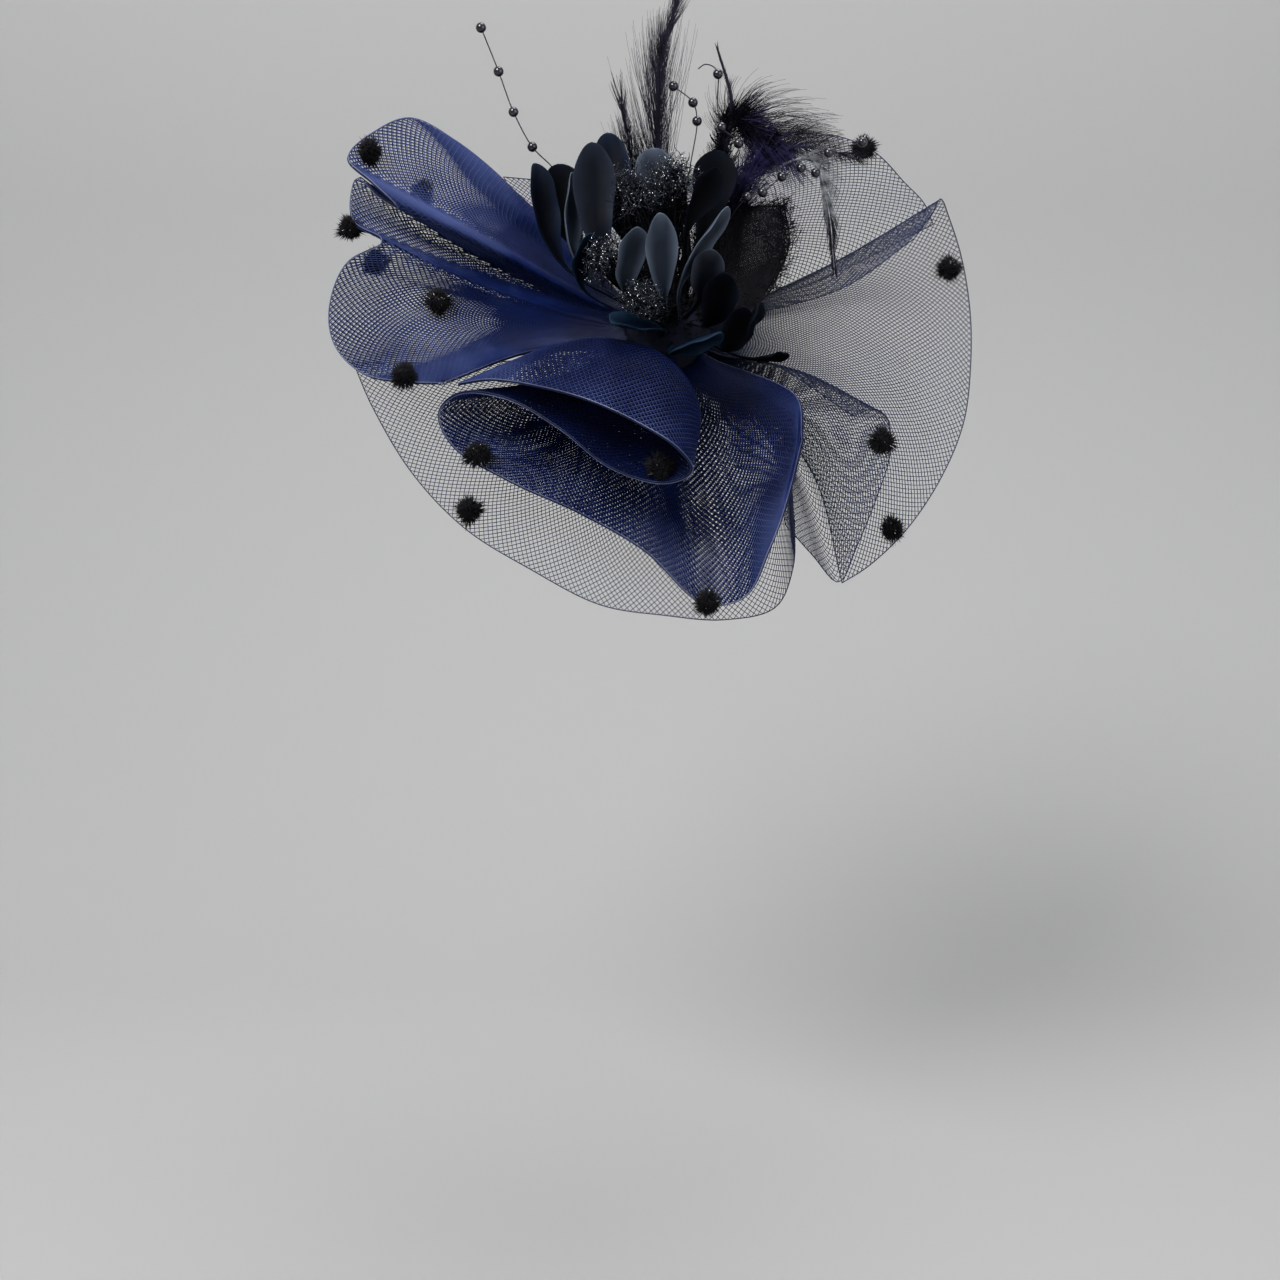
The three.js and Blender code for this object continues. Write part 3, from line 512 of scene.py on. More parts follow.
class Ribbon:
    """A length of net laid along its rows: a grid, even along the free edge and along each section."""

    def __init__(self, rows):
        rows = [dict(zip(SECTION, row)) for row in rows]
        sections = np.array([[
            on_base(r["turn"], GATHER_RADIUS, r["lift"] * MM),
            on_base(r["turn"], SHOULDER_RADIUS, r["lift"] * MM),
            point_of(r, "crest"), point_of(r, "rim"),
        ] for r in rows])
        fine = np.linspace(0, 1, 40 * len(rows))
        rim = spline(sections[:, 3], fine)
        run = lengths(rim)
        self.length = run[-1]
        self.count = max(8, round(self.length / SURFACE_STEP)) + 1
        at = np.interp(np.linspace(0, self.length, self.count), run, fine)
        lines = spline(sections, at)
        curves = spline(lines.swapaxes(0, 1), np.linspace(0, 1, 4 * SECTION_STEPS))
        self.grid = np.stack([evenly(curves[:, i], SECTION_STEPS + 1) for i in range(self.count)])
        self.section = np.linalg.norm(np.diff(self.grid, axis=1), axis=-1).sum(axis=1)
        self.normal = unit(np.cross(np.gradient(self.grid, axis=0), np.gradient(self.grid, axis=1)))

    def reach(self, u):
        """How far the net runs in from its free edge before it is gathered under the flower."""
        return np.interp(u, np.linspace(0, self.length, self.count), self.section)

    def read(self, u, v, what="grid"):
        """Places, or normals, at distances u along the free edge and v out from the inner edge."""
        values = getattr(self, what)
        reach = self.reach(u)
        i = np.clip(u / self.length, 0, 1) * (self.count - 1)
        j = np.clip((v - RIBBON_WIDTH + reach) / reach, 0, 1) * SECTION_STEPS
        low_i = np.minimum(i.astype(int), self.count - 2)
        low_j = np.minimum(j.astype(int), SECTION_STEPS - 1)
        fi, fj = (i - low_i)[..., None], (j - low_j)[..., None]
        return ((values[low_i, low_j] * (1 - fi) + values[low_i + 1, low_j] * fi) * (1 - fj)
                + (values[low_i, low_j + 1] * (1 - fi) + values[low_i + 1, low_j + 1] * fi) * fj)


THREAD_POINTS = 23
THREAD_SHORTEST = 4 * MM
SCAN_POINTS = 160  # places along a thread where its end is looked for
HEM_POINTS = 40
# The threads wander a little between the gather and the free edge
WANDER = 3.6 * MM
WANDER_ALONG = 11 * MM
WANDER_OUT = 9 * MM
# The plies of net as (lift, thread, edge, width). Two pieces are laid in several, for their dense weave. The
# lit ply's thread and edge are lighter copies with painted light; the plies behind use a darker copy with
# painted shade.
SINGLE = [(0, NET, HEM, THREAD_WIDTH)]
LIT_PLY = (-0.45 * MM, NET_LIT, HEM_LIT, THREAD_WIDTH)
SHADED_PLY = (0.45 * MM, NET_SHADED, HEM, UNDER_WIDTH)
PLIES = {
    "crin_front_roll": [LIT_PLY, (0, NET_SHADED, NET_SHADED, UNDER_WIDTH), SHADED_PLY],
    "crin_left_loop": [LIT_PLY, SHADED_PLY],
}


def net_threads(ribbon, lift, width):
    """Both sets of bias threads, each cut where it leaves the ribbon or goes under the gather."""
    step = THREAD_PITCH * math.sqrt(2)
    parts = []
    for lean in (1, -1):
        starts = np.arange(-RIBBON_WIDTH, ribbon.length + RIBBON_WIDTH, step) + rng.uniform(0, step)
        bounds = (-starts, ribbon.length - starts) if lean > 0 else (starts - ribbon.length, starts)
        low = np.maximum(0, bounds[0])
        high = np.minimum(RIBBON_WIDTH, bounds[1])
        v = low[:, None] + (high - low)[:, None] * np.linspace(0, 1, SCAN_POINTS)
        hidden = v < RIBBON_WIDTH - ribbon.reach(starts[:, None] + lean * v)
        first = np.where(hidden.any(axis=1), SCAN_POINTS - np.argmax(hidden[:, ::-1], axis=1), 0)
        low = v[np.arange(len(v)), np.minimum(first, SCAN_POINTS - 1)]
        kept = high - low > THREAD_SHORTEST
        starts, low, high = starts[kept], low[kept], high[kept]
        v = low[:, None] + (high - low)[:, None] * np.linspace(0, 1, THREAD_POINTS)
        u = starts[:, None] + lean * v
        drift = WANDER * np.sin(u / WANDER_ALONG + lean) * np.sin(v / WANDER_OUT + 900 * lift)
        u = u + drift * (1 - v / RIBBON_WIDTH) * (v / RIBBON_WIDTH)
        normal = ribbon.read(u, v, "normal")
        lines = ribbon.read(u, v) + normal * (lift + lean * THREAD_WIDTH / 4)
        parts.append(tubes(lines, width / math.sqrt(3), 3, normal, capped=False))
    return parts


def hem(ribbon, u, v, lift):
    """The cord along an edge of the net."""
    u, v = np.broadcast_arrays(u, v)
    normal = ribbon.read(u, v, "normal")
    return tubes((ribbon.read(u, v) + normal * lift)[None], SELVEDGE_RADIUS, 5, normal[None])


def make_net(name):
    ribbon = Ribbon(RUFFLE[name])
    plies = PLIES.get(name, SINGLE)
    rim = np.linspace(0, ribbon.length, ribbon.count * 2)
    groups = []
    for lift, thread, edge, width in plies:
        hems = [hem(ribbon, rim, RIBBON_WIDTH, lift)]
        for end in (0, ribbon.length):
            inner = RIBBON_WIDTH - ribbon.reach(end)
            hems.append(hem(ribbon, float(end), np.linspace(inner, RIBBON_WIDTH, HEM_POINTS), lift))
        groups += [(thread, net_threads(ribbon, lift, width)), (edge, hems)]
    piece = several("net_" + name[5:], groups)
    dress(piece, name)


for name in RUFFLE:
    make_net(name)


def scattered(count):
    """Even directions over a ball, each nudged a little."""
    k = np.arange(count) + 0.5
    height = 1 - 2 * k / count
    turn = k * math.pi * (1 + math.sqrt(5))
    spread = np.sqrt(1 - height ** 2)
    ways = np.stack([spread * np.cos(turn), spread * np.sin(turn), height], axis=-1)
    return unit(ways + rng.normal(0, 0.12, ways.shape))


# The chenille dots: a ball of short pile in uneven locks, with a few bright fibres
DOT_FIBRES = 820
DOT_LOCKS = 9
FIBRE_WIDTH = 0.7 * MM
BRIGHT_SHARE = 0.015
# Shares of the dot's radius: its solid middle, the pile's roots, how far a lock stands out and the sway
DOT_HEART = 0.72
PILE_ROOT = 0.612
LOCK_REACH = 0.5
PILE_SWAY = 0.096


def make_dot(node):
    low, high = np.array(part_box(node))
    centre, radius = (low + high) / 2, (high - low).max() / 2
    ways = scattered(DOT_FIBRES)
    locks = unit(rng.normal(size=(DOT_LOCKS, 3)))
    nearness = np.clip(ways @ locks.T, 0, 1).max(axis=1)
    reach = radius * (1 + LOCK_REACH * nearness ** 8) * rng.uniform(0.8, 1.2, DOT_FIBRES)
    sway = rng.normal(0, PILE_SWAY, ways.shape) * radius
    roots = centre + ways * radius * PILE_ROOT
    tips = centre + ways * np.maximum(reach, radius * DOT_HEART)[:, None] + sway
    bright = rng.random(DOT_FIBRES) < BRIGHT_SHARE
    pile = spikes(roots[~bright], tips[~bright], FIBRE_WIDTH)
    glints = spikes(roots[bright], tips[bright], FIBRE_WIDTH * 0.8)
    heart = globes([centre], radius * DOT_HEART, 14, 9)
    dress(several("pile_" + node[4:], [(PILE, [heart, pile]), (GLINT, [glints])]), node)


for node in sorted(frame["nodes"]):
    if node.startswith("dot_"):
        make_dot(node)


# The flower's petals: cupped tongues with a narrow claw and a rounded rim
PETAL = ("turn", "lift", "heelX", "heelY", "heelZ", "tipX", "tipY", "tipZ", "width", "face", "tone")
PETALS = [
    (170, 19, -50, -30, 42, -62, -14, 84, 19, 55, "navy"),
    (142, 21, -42, -18, 48, -51, -4, 84, 20, 15, "dark"),
    (186, 21, -42, -40, 42, -45, -26, 80, 16, 66, "pale"),
    (150, 24, -30, -36, 46, -35, -28, 93, 19, 10, "slate"),
    (118, 24, -21, -18, 54, -28, -10, 98, 18, 0, "navy"),
    (203, 19, -40, -46, 32, -36, -46, 54, 17, 50, "teal"),
    (222, 22, -20, -50, 30, -15, -56, 57, 15, 30, "pale"),
    (262, 24, -3, -50, 28, -5, -62, 63, 14, 10, "pale"),
    (300, 26, 5, -48, 33, 24, -52, 66, 14, 60, "pale"),
    (322, 25, 14, -42, 26, 18, -54, 48, 15, 5, "dusk"),
    (332, 21, 18, -38, 14, 24, -52, 38, 16, 10, "dark"),
    (344, 17, 25, -34, 2, 33, -46, 23, 15, 20, "dark"),
    (246, 15, -4, -48, 12, -26, -70, 14, 18, 72, "teal"),
    (292, 15, 0, -52, 2, 22, -62, 13, 18, 68, "teal"),
    (62, 24, 15, -20, 56, 23, -6, 90, 20, 5, "dark"),
    (20, 24, 8, -34, 58, 21, -24, 82, 17, 42, "dark"),
    (92, 25, -6, -20, 62, -7, -12, 91, 18, 0, "pale"),
    (352, 12, 38, -30, -2, 54, -36, 2, 9, 60, "dark"),
    (4, 19, 33, -34, 8, 38, -44, 24, 16, 74, "dark"),
]
PETAL_CLAW = 1.4 * MM  # half its width
PETAL_WALL = 1.1 * MM
PETAL_RIPPLE = 0.55 * MM
PETAL_ROLL = 1.8 * MM  # how far the tip rolls forward
PETAL_CUP = 0.35  # shares of the petal's half width: its cup, its crease and the unevenness of its rim
PETAL_CREASE = 0.09
PETAL_UNEVEN = 0.04
HEEL_AT = 0.5  # the share of the spine where the blade begins
HEEL_WIDTH = 0.3  # the blade's width there, as a share of its widest
SHOULDER_AT = 0.62  # the share of the blade where it is widest
PETAL_ROWS = 40
PETAL_RING = 28


def blade_half(share):
    """A tongue's half width as a share of its widest, from the heel at 0 to the tip at 1."""
    swell = HEEL_WIDTH + (1 - HEEL_WIDTH) * np.sin(np.clip(share / SHOULDER_AT, 0, 1) * math.pi / 2)
    tip = np.clip(1 - (np.clip(share - SHOULDER_AT, 0, 1) / (1 - SHOULDER_AT)) ** 2, 0, 1) ** 0.58
    return swell * tip


def make_petal(number, row):
    petal = dict(zip(PETAL, row))
    root = on_base(petal["turn"], PETAL_ROOT_RADIUS, petal["lift"] * MM)
    heel, tip = point_of(petal, "heel"), point_of(petal, "tip")
    blade = unit(tip - heel)
    flat = unit(np.cross(FRONT, blade))
    face = math.radians(petal["face"])
    flat = flat * math.cos(face) + np.cross(blade, flat) * math.sin(face)
    front = unit(np.cross(blade, flat))

    at = 1 - (1 - np.linspace(0, 1, PETAL_ROWS)) ** 1.35
    spine = spline([root, heel, tip], at)
    share = np.clip((at - HEEL_AT) / (1 - HEEL_AT), 0, 1)
    widest = petal["width"] * MM / 2
    opening = np.clip((at - HEEL_AT * 0.8) / (HEEL_AT * 0.2), 0, 1)
    neck = PETAL_CLAW + (widest * HEEL_WIDTH - PETAL_CLAW) * opening ** 2
    half = np.maximum(np.where(at < HEEL_AT, neck, widest * blade_half(share)), 0.15 * MM)

    turn = 2 * math.pi * np.arange(PETAL_RING) / PETAL_RING
    v = np.sign(np.cos(turn)) * np.abs(np.cos(turn)) ** 0.75
    thick = PETAL_WALL / 2 * np.sqrt(np.clip(half / (2 * MM), 0.25, 1))
    ripple = np.sin(share * 9 + 2.3 * number)[:, None] * v
    ripple = ripple + 0.7 * np.sin(share * 15 + number)[:, None] * v ** 2
    wave = PETAL_RIPPLE * ripple * np.abs(v) * (half / widest)[:, None]
    crease = PETAL_CREASE * half[:, None] * np.exp(-(v / 0.22) ** 2) * (1 - share[:, None] ** 2)
    forward = PETAL_CUP * half[:, None] * v ** 2 + thick[:, None] * np.sin(turn) + wave - crease
    half = half * (1 + PETAL_UNEVEN * np.sin(share * 11 + 1.7 * number))
    forward = forward + (PETAL_ROLL * share ** 3)[:, None]
    vertices = spine[:, None] + half[:, None, None] * v[:, None] * flat + forward[..., None] * front
    # Painted highlight: the rim and the tip are lightened by this share, which the petal's material reads.
    rim_highlight = np.maximum(np.abs(v)[None] ** 2.2 * np.ones((PETAL_ROWS, 1)), share[:, None] ** 7)
    piece = mesh_object("blade_%d" % number, vertices.reshape(-1, 3), stacked(PETAL_ROWS, PETAL_RING),
                        [PETAL_TONES[petal["tone"]]])
    attribute = piece.data.attributes.new("rim_highlight", "FLOAT", "POINT")
    attribute.data.foreach_set("value", rim_highlight.ravel().astype(np.float32))
    dress(piece, "petal_%d" % number)


for number, row in enumerate(PETALS, start=1):
    make_petal(number, row)


def petal_points():
    """A search tree of every petal's vertices."""
    blades = [piece for piece in bpy.data.objects if piece.name.startswith("blade_")]
    places = [vertex.co.copy() for piece in blades for vertex in piece.data.vertices]
    tree = KDTree(len(places))
    for number, place in enumerate(places):
        tree.insert(place, number)
    tree.balance()
    return tree


PETAL_POINTS = petal_points()
PETAL_BERTH = 1.4 * MM


def clear_of_petals(lines):
    """Which lines keep off the petals."""
    return np.array([all(PETAL_POINTS.find(place)[2] > PETAL_BERTH for place in line[1:])
                     for line in lines])


# The glittered stamens: crinkled filaments with crumbs of glitter, on a sheaf of stems. Each cluster has
# its centre and its reach, in millimetres.
STAMENS = {
    "stamens_upper": ((-17, -30, 72), 17),
    "stamens_ridge": ((2, -24, 78), 14),
    "stamens_left": ((-30, -50, 43), 13),
    "stamens_front": ((-12, -54, 25), 13),
}
STEM_FOOT = on_base(0, 0, 22 * MM)
FILAMENTS = 270
FILAMENT_POINTS = 12
FILAMENT_RADIUS = 0.17 * MM
FILAMENT_SWING = 1.5 * MM
CRUMBS = 190
CRUMB_STRAY = 0.25 * MM
STEMS = 60
STEM_POINTS = 10
STEM_RADIUS = 0.42 * MM
FRIZZ = 340
FRIZZ_RADIUS = 0.2 * MM
FRIZZ_SWING = 1.8 * MM


def make_filaments(centre, reach):
    """Crinkled filaments round a centre, and the crumbs of glitter that cling to them."""
    ways = scattered(FILAMENTS)
    first = square_to(ways)
    second = np.cross(ways, first)
    s = np.linspace(0, 1, FILAMENT_POINTS)
    long = reach * rng.uniform(0.5, 1.0, (FILAMENTS, 1, 1))
    phase = rng.uniform(0, 2 * math.pi, (2, FILAMENTS, 1))
    beat = rng.uniform(7, 16, (2, FILAMENTS, 1))
    swing = FILAMENT_SWING * np.sqrt(s)
    curl = [(swing * np.sin(beat[k] * s + phase[k]))[..., None] for k in (0, 1)]
    lines = centre + ways[:, None] * long * s[:, None]
    lines = lines + curl[0] * first[:, None] + curl[1] * second[:, None]
    kept = clear_of_petals(lines)
    lines, first = lines[kept], first[kept]
    filaments = tubes(lines, FILAMENT_RADIUS, 3, first[:, None])
    pick = rng.integers(0, len(lines), CRUMBS), rng.integers(4, FILAMENT_POINTS, CRUMBS)
    spots = lines[pick] + rng.normal(0, CRUMB_STRAY, (CRUMBS, 3))
    grain = rng.uniform(0.4, 1.1, CRUMBS) * MM
    away = unit(rng.normal(size=(CRUMBS, 3)))
    return filaments, spikes(spots - away * grain[:, None] / 2, spots + away * grain[:, None] / 2, grain)


def make_stems(centre, reach):
    """The sheaf that carries a cluster, and the frizz that stands off its stems."""
    rise = np.linspace(0, 1, STEM_POINTS)[:, None]
    heads = centre + unit(rng.normal(size=(STEMS, 3))) * reach * 0.35
    feet = STEM_FOOT + rng.normal(0, 4 * MM, (STEMS, 3))
    bow = rng.normal(0, 3 * MM, (STEMS, 1, 3)) * np.sin(math.pi * rise)
    sheaf = feet[:, None] * (1 - rise) + heads[:, None] * rise + bow
    stems = tubes(sheaf, STEM_RADIUS, 4, np.array([1.0, 0.1, 0.1]))
    ways = unit(rng.normal(size=(FRIZZ, 3)))
    across = square_to(ways)
    s = np.linspace(0, 1, 7)[:, None]
    swing = np.sin(s * rng.uniform(5, 11, (FRIZZ, 1, 1)) + rng.uniform(0, 6, (FRIZZ, 1, 1)))
    roots = sheaf[rng.integers(0, STEMS, FRIZZ), rng.integers(2, STEM_POINTS - 1, FRIZZ)]
    lines = roots[:, None] + ways[:, None] * s * rng.uniform(5, 13, (FRIZZ, 1, 1)) * MM
    lines = (lines + across[:, None] * FRIZZ_SWING * swing)[clear_of_petals(lines)]
    return stems, tubes(lines, FRIZZ_RADIUS, 3, np.array([0.3, 1.0, 0.2]))


def make_stamens(name, place, reach):
    centre = np.array(place) * MM
    filaments, crumbs = make_filaments(centre, reach * MM)
    stems, frizz = make_stems(centre, reach * MM)
    groups = [(FILAMENT, [filaments]), (STEM, [stems, frizz]), (GLINT, [crumbs])]
    dress(several("glitter_" + name[8:], groups), name)


for name, (place, reach) in STAMENS.items():
    make_stamens(name, place, reach)


# The scrap of black lace: a fine ground, flower outlines laid on it and a frayed outer edge
LACE_RIGHT = [
    [(12, -15, 14), (24, -19, 15), (36, -19, 19), (46, -17, 27)],
    [(11, -13, 18), (22, -12, 34), (37, -9, 44), (55, -12, 48)],
    [(10, -11, 20), (20, -8, 48), (34, -4, 64), (53, -8, 66)],
]
LACE_FLAT = (0.044, 0.062)  # across and along
LACE_PITCH = 0.95 * MM
LACE_CRUMPLE = 1.6 * MM
LACE_THREAD = 0.3 * MM  # radii of the ground, the outlines, the edges and the frays
LACE_OUTLINE = 0.42 * MM
LACE_EDGE = 0.4 * MM
LACE_FRAY = 0.16 * MM
LACE_FLOWERS = 15
LACE_FLOWER_SIZE = 4.6 * MM
LACE_FRAYS = 300


def on_lace(out, across):
    """Places on the crumpled lace at shares out from the root and across."""
    out, across = np.broadcast_arrays(np.clip(out, 0, 1), np.clip(across, 0, 1))
    shape = out.shape + (3,)
    out, across = out.ravel(), across.ravel()
    lines = spline(np.array(LACE_RIGHT, float) * MM, across)
    places = np.stack([spline(line, [share])[0] for line, share in zip(lines, out)])
    fold = np.sin(9 * across + 2 * out) + 0.6 * np.sin(15 * out - 5 * across)
    return (places + FRONT * (LACE_CRUMPLE * fold)[:, None]).reshape(shape)


def make_lace():
    wide, long = LACE_FLAT
    parts = []
    s = np.linspace(0, 1, 22)
    for lean in (1, -1):
        for start in np.arange(-wide, long + wide, LACE_PITCH):
            along = start + lean * wide * s
            kept = (along > 0) & (along < long)
            if kept.sum() > 3:
                thread = on_lace(along[kept] / long, s[kept])[None]
                parts.append(tubes(thread, LACE_THREAD, 3, FRONT, capped=False))
    for out, across in rng.uniform((0.25, 0.1), (0.95, 0.95), (LACE_FLOWERS, 2)):
        turn = np.linspace(0, 2 * math.pi, 31)
        for scale in (1.0, 0.55):
            ray = LACE_FLOWER_SIZE * scale * (1 + 0.3 * np.cos(5 * turn))
            ring = on_lace(out + ray * np.cos(turn) / long, across + ray * np.sin(turn) / wide)
            parts.append(tubes((ring + FRONT * LACE_THREAD)[None], LACE_OUTLINE, 4, FRONT))
    side = np.linspace(0.2, 1, 40)
    for out, across in ((1, np.linspace(0, 1, 40)), (side, 0), (side, 1)):
        parts.append(tubes(on_lace(out, across)[None], LACE_EDGE, 5, FRONT))
    edge = rng.uniform(0, 1, LACE_FRAYS)
    top = rng.random(LACE_FRAYS) < 0.35
    out = np.where(top, 0.5 + edge / 2, rng.uniform(0.93, 1, LACE_FRAYS))
    roots = on_lace(out, np.where(top, 1, edge))
    way = unit(np.array([0.7, -0.1, 0.25]) + rng.normal(0, 0.5, (LACE_FRAYS, 3)))
    way = way * rng.uniform(2, 9, (LACE_FRAYS, 1)) * MM
    rise = np.linspace(0, 1, 7)[:, None]
    curl = rng.normal(0, 1.2 * MM, (LACE_FRAYS, 1, 3)) * np.sin(rise * 4)
    parts.append(tubes(roots[:, None] + way[:, None] * rise + curl, LACE_FRAY, 3, FRONT))
    dress(mesh_object("lace_scrap", *joined(parts), [LACE]), "lace_right")


make_lace()


# The beads strung on wire: the wire's path in millimetres and which of its points carry a bead
SPRAYS = {
    "beads_left": (
        [(-8, -7, 20), (-15, 4, 36), (-44, 2, 72), (-54, -6, 84), (-62, -12, 92), (-70, -18, 107),
         (-76, -24, 124), (-83, -30, 142)],
        [4, 5, 6, 7]),
    "beads_middle": (
        [(2, -9, 22), (3, 1, 38), (10, 0, 84), (13, 0, 104), (11, -3, 112), (2, -6, 119)],
        [3, 4, 5]),
    "beads_tall": (
        [(6, -9, 21), (9, 0, 38), (26, 0, 78), (32, -2, 94), (24, -6, 101), (22, -8, 112),
         (22, -10, 124), (20, -11, 127), (16, -12, 128), (13, -12, 126)],
        [3, 4, 6]),
    "beads_right": (
        [(9, -10, 18), (14, -1, 34), (36, -8, 70), (43, -8, 72), (52, -4, 79), (61, 0, 83), (68, 2, 81),
         (74, 4, 90), (90, 8, 95)],
        [2, 3, 4, 5, 6, 7, 8]),
}


def make_spray(name, path, strung):
    path = np.array(path) * MM
    line = spline(path, np.linspace(0, 1, 90))
    wire = tubes(line[None], BEAD_WIRE_RADIUS, 6, np.array([0.2, -1.0, 0.1]))
    beads = globes(path[strung], BEAD_RADIUS, 24, 16)
    dress(several("strung_" + name[6:], [(BEAD, [beads]), (WIRE, [wire])]), name)


for name, (path, strung) in SPRAYS.items():
    make_spray(name, path, strung)


# The feathers, in millimetres and degrees. The vane is where the barbs begin, the left side is on the left of
# the way from root to tip, and the lead is how far on the longest barbs are. A row of down has its stretch of
# the quill, its count, its length, how far round the quill it stands about its right side, and its tone.
FEATHER = ("path", "vane", "barbs", "left", "right", "angle", "spread", "lead", "fluff", "quill", "tones",
           "down")
FEATHERS = {
    "feather_tall": (
        [(0, -6, 20), (0, 6, 38), (-5, 2, 84), (-5, 3, 112), (-3, 4, 138), (3, 6, 155), (2, 7, 168)],
        0.28, 360, 56, 60, 12, 8, 0.42, 12, 1.1, (PLUME, PLUME), [(0.1, 0.42, 340, 18, 360, FLUFF)]),
    "feather_stripped": (
        [(5, -6, 20), (12, 6, 38), (26, 4, 90), (29, 4, 112), (22, 4, 137)],
        0.55, 80, 10, 10, 14, 7, 0.3, 1, 1.5, (BARB, BARB), [(0.1, 0.58, 340, 17, 360, FLUFF)]),
    "feather_fan": (
        [(8, -7, 19), (18, 6, 38), (23, 6, 80), (24, 7, 98), (29, 8, 108), (39, 9, 105), (48, 10, 99),
         (58, 12, 92)],
        0.66, 300, 34, 12, 56, 18, -0.05, 5, 1.2, (BARB, BARB),
        [(0.1, 0.5, 340, 17, 360, FLUFF), (0.58, 0.92, 600, 7, 360, FLUFF),
         (0.5, 0.6, 260, 12, 200, FLUFF), (0.61, 0.88, 540, 24, 140, FLUFF),
         (0.72, 1.0, 400, 24, 120, DOWN)]),
    "feather_marabou": (
        [(10, -8, 18), (20, 8, 38), (36, 8, 78), (52, 10, 92), (72, 14, 92), (90, 16, 87)],
        0.4, 300, 22, 17, 34, 22, 0.2, 7, 0.9, (DOWN, BARB),
        [(0.12, 0.4, 340, 17, 360, FLUFF), (0.38, 0.66, 430, 18, 360, DOWN)]),
    # The hackle's nearer barbs carry the painted sheen.
    "feather_hackle": (
        [(11, -9, 16), (23, 5, 36), (46, 7, 80), (66, 8, 87), (74, 3, 66), (77, -3, 38)],
        0.6, 270, 19, 19, 13, 4, 0.3, 1, 0.8, (BARB_PAINTED_SHEEN, BARB), [(0.1, 0.4, 340, 17, 360, FLUFF)]),
    "feather_tuft": (
        [(-4, -6, 20), (-8, 9, 38), (-16, 6, 80), (-19, 5, 98), (-22, 5, 114)],
        0.35, 180, 44, 38, 9, 7, 0.45, 8, 0.7, (BARB, BARB), [(0.1, 0.5, 340, 17, 360, FLUFF)]),
}
BARB_POINTS = 8
BARB_RADIUS = 0.13 * MM
LOCK_OF_BARBS = 6  # barbs that cling together
DOWN_POINTS = 5
DOWN_RADIUS = 0.22 * MM


def bent(start, ahead, out, length, lean, points):
    """Barbs that leave the quill at a lean and bend towards its tip."""
    s = np.linspace(0, 1, points)
    turn = lean[:, None] * (1.2 - 0.8 * s[1:])
    step = length[:, None] / (points - 1)
    sideways = np.cumsum(np.sin(turn) * step, axis=1)
    onward = np.cumsum(np.cos(turn) * step, axis=1)
    moved = out[:, None] * sideways[..., None] + ahead[:, None] * onward[..., None]
    return np.concatenate([start[:, None], start[:, None] + moved], axis=1), s


class Quill:
    """A feather's quill, read at shares of its length."""

    def __init__(self, path):
        self.path = spline(np.array(path) * MM, np.linspace(0, 1, 160))
        self.run = lengths(self.path) / lengths(self.path)[-1]
        self.tangent = unit(np.gradient(self.path, axis=0))

    def read(self, at):
        """Places, and the ways ahead to the tip."""
        places, ahead = (np.stack([np.interp(at, self.run, values[:, k]) for k in range(3)], axis=-1)
                         for values in (self.path, self.tangent))
        return places, unit(ahead)


def side_barbs(feather, quill, side, reach):
    """The barbs of one side, locked together in small groups."""
    count = feather["barbs"]
    order = np.linspace(0, 1, count)
    at = feather["vane"] + (1 - feather["vane"]) * order
    lock = np.arange(count) // LOCK_OF_BARBS
    shared = rng.normal(0, 1, (lock[-1] + 1, 2))[lock]
    single = rng.normal(0, 1, (count, 2))
    lean = np.radians(feather["angle"] + feather["spread"] * (0.7 * shared[:, 0] + 0.5 * single[:, 0]))
    fluff = feather["fluff"] * MM * (0.6 * shared[:, 1] + 0.5 * single[:, 1])
    swell = 0.35 + 0.65 * np.sin(math.pi * np.clip(order * 0.85 + feather["lead"], 0, 1))
    long = reach * MM * swell * rng.uniform(0.55, 1.05, count)
    roots, ahead = quill.read(at)
    out = unit(np.cross(ahead, FRONT)) * side
    lines, s = bent(roots, ahead, out, long, lean, BARB_POINTS)
    lines = lines + FRONT * (fluff[:, None] * s ** 1.5)[..., None]
    taper = BARB_RADIUS * (1 - 0.6 * s) * np.ones((count, 1))
    near = order < 0.5
    return [tubes(lines[kept], taper[kept], 3, FRONT) for kept in (near, ~near)]


def down_barbs(quill, begin, finish, barbs, reach, around):
    """Soft down round a stretch of the quill, kept off the petals."""
    roots, ahead = quill.read(rng.uniform(begin, finish, barbs))
    turn = np.radians(rng.uniform(-around / 2, around / 2, (barbs, 1)))
    across = unit(np.cross(ahead, FRONT))
    out = np.cos(turn) * across + np.sin(turn) * np.cross(ahead, across)
    lean = np.radians(rng.uniform(30, 85, barbs))
    long = rng.uniform(0.5, 1, barbs) * reach * MM
    lines, s = bent(roots, ahead, out, long, lean, DOWN_POINTS)
    taper = DOWN_RADIUS * (1 - 0.55 * s) * np.ones((barbs, 1))
    kept = clear_of_petals(lines)
    facing = (across[:, None] + 0.3 * FRONT)[kept]
    return tubes(lines[kept], taper[kept], 3, facing)


def make_feather(name, row):
    feather = dict(zip(FEATHER, row))
    quill = Quill(feather["path"])
    near_tone, far_tone = feather["tones"]
    thick = feather["quill"] * MM * (1 - 0.7 * quill.run ** 2)
    groups = {near_tone: [tubes(quill.path[None], thick[None], 6, FRONT)]}
    for side, reach in ((-1, feather["left"]), (1, feather["right"])):
        near, far = side_barbs(feather, quill, side, reach)
        groups[near_tone].append(near)
        groups.setdefault(far_tone, []).append(far)
    for begin, finish, barbs, reach, around, tone in feather["down"]:
        groups.setdefault(tone, []).append(down_barbs(quill, begin, finish, barbs, reach, around))
    dress(several("plumage_" + name[8:], list(groups.items())), name)


for name, row in FEATHERS.items():
    make_feather(name, row)


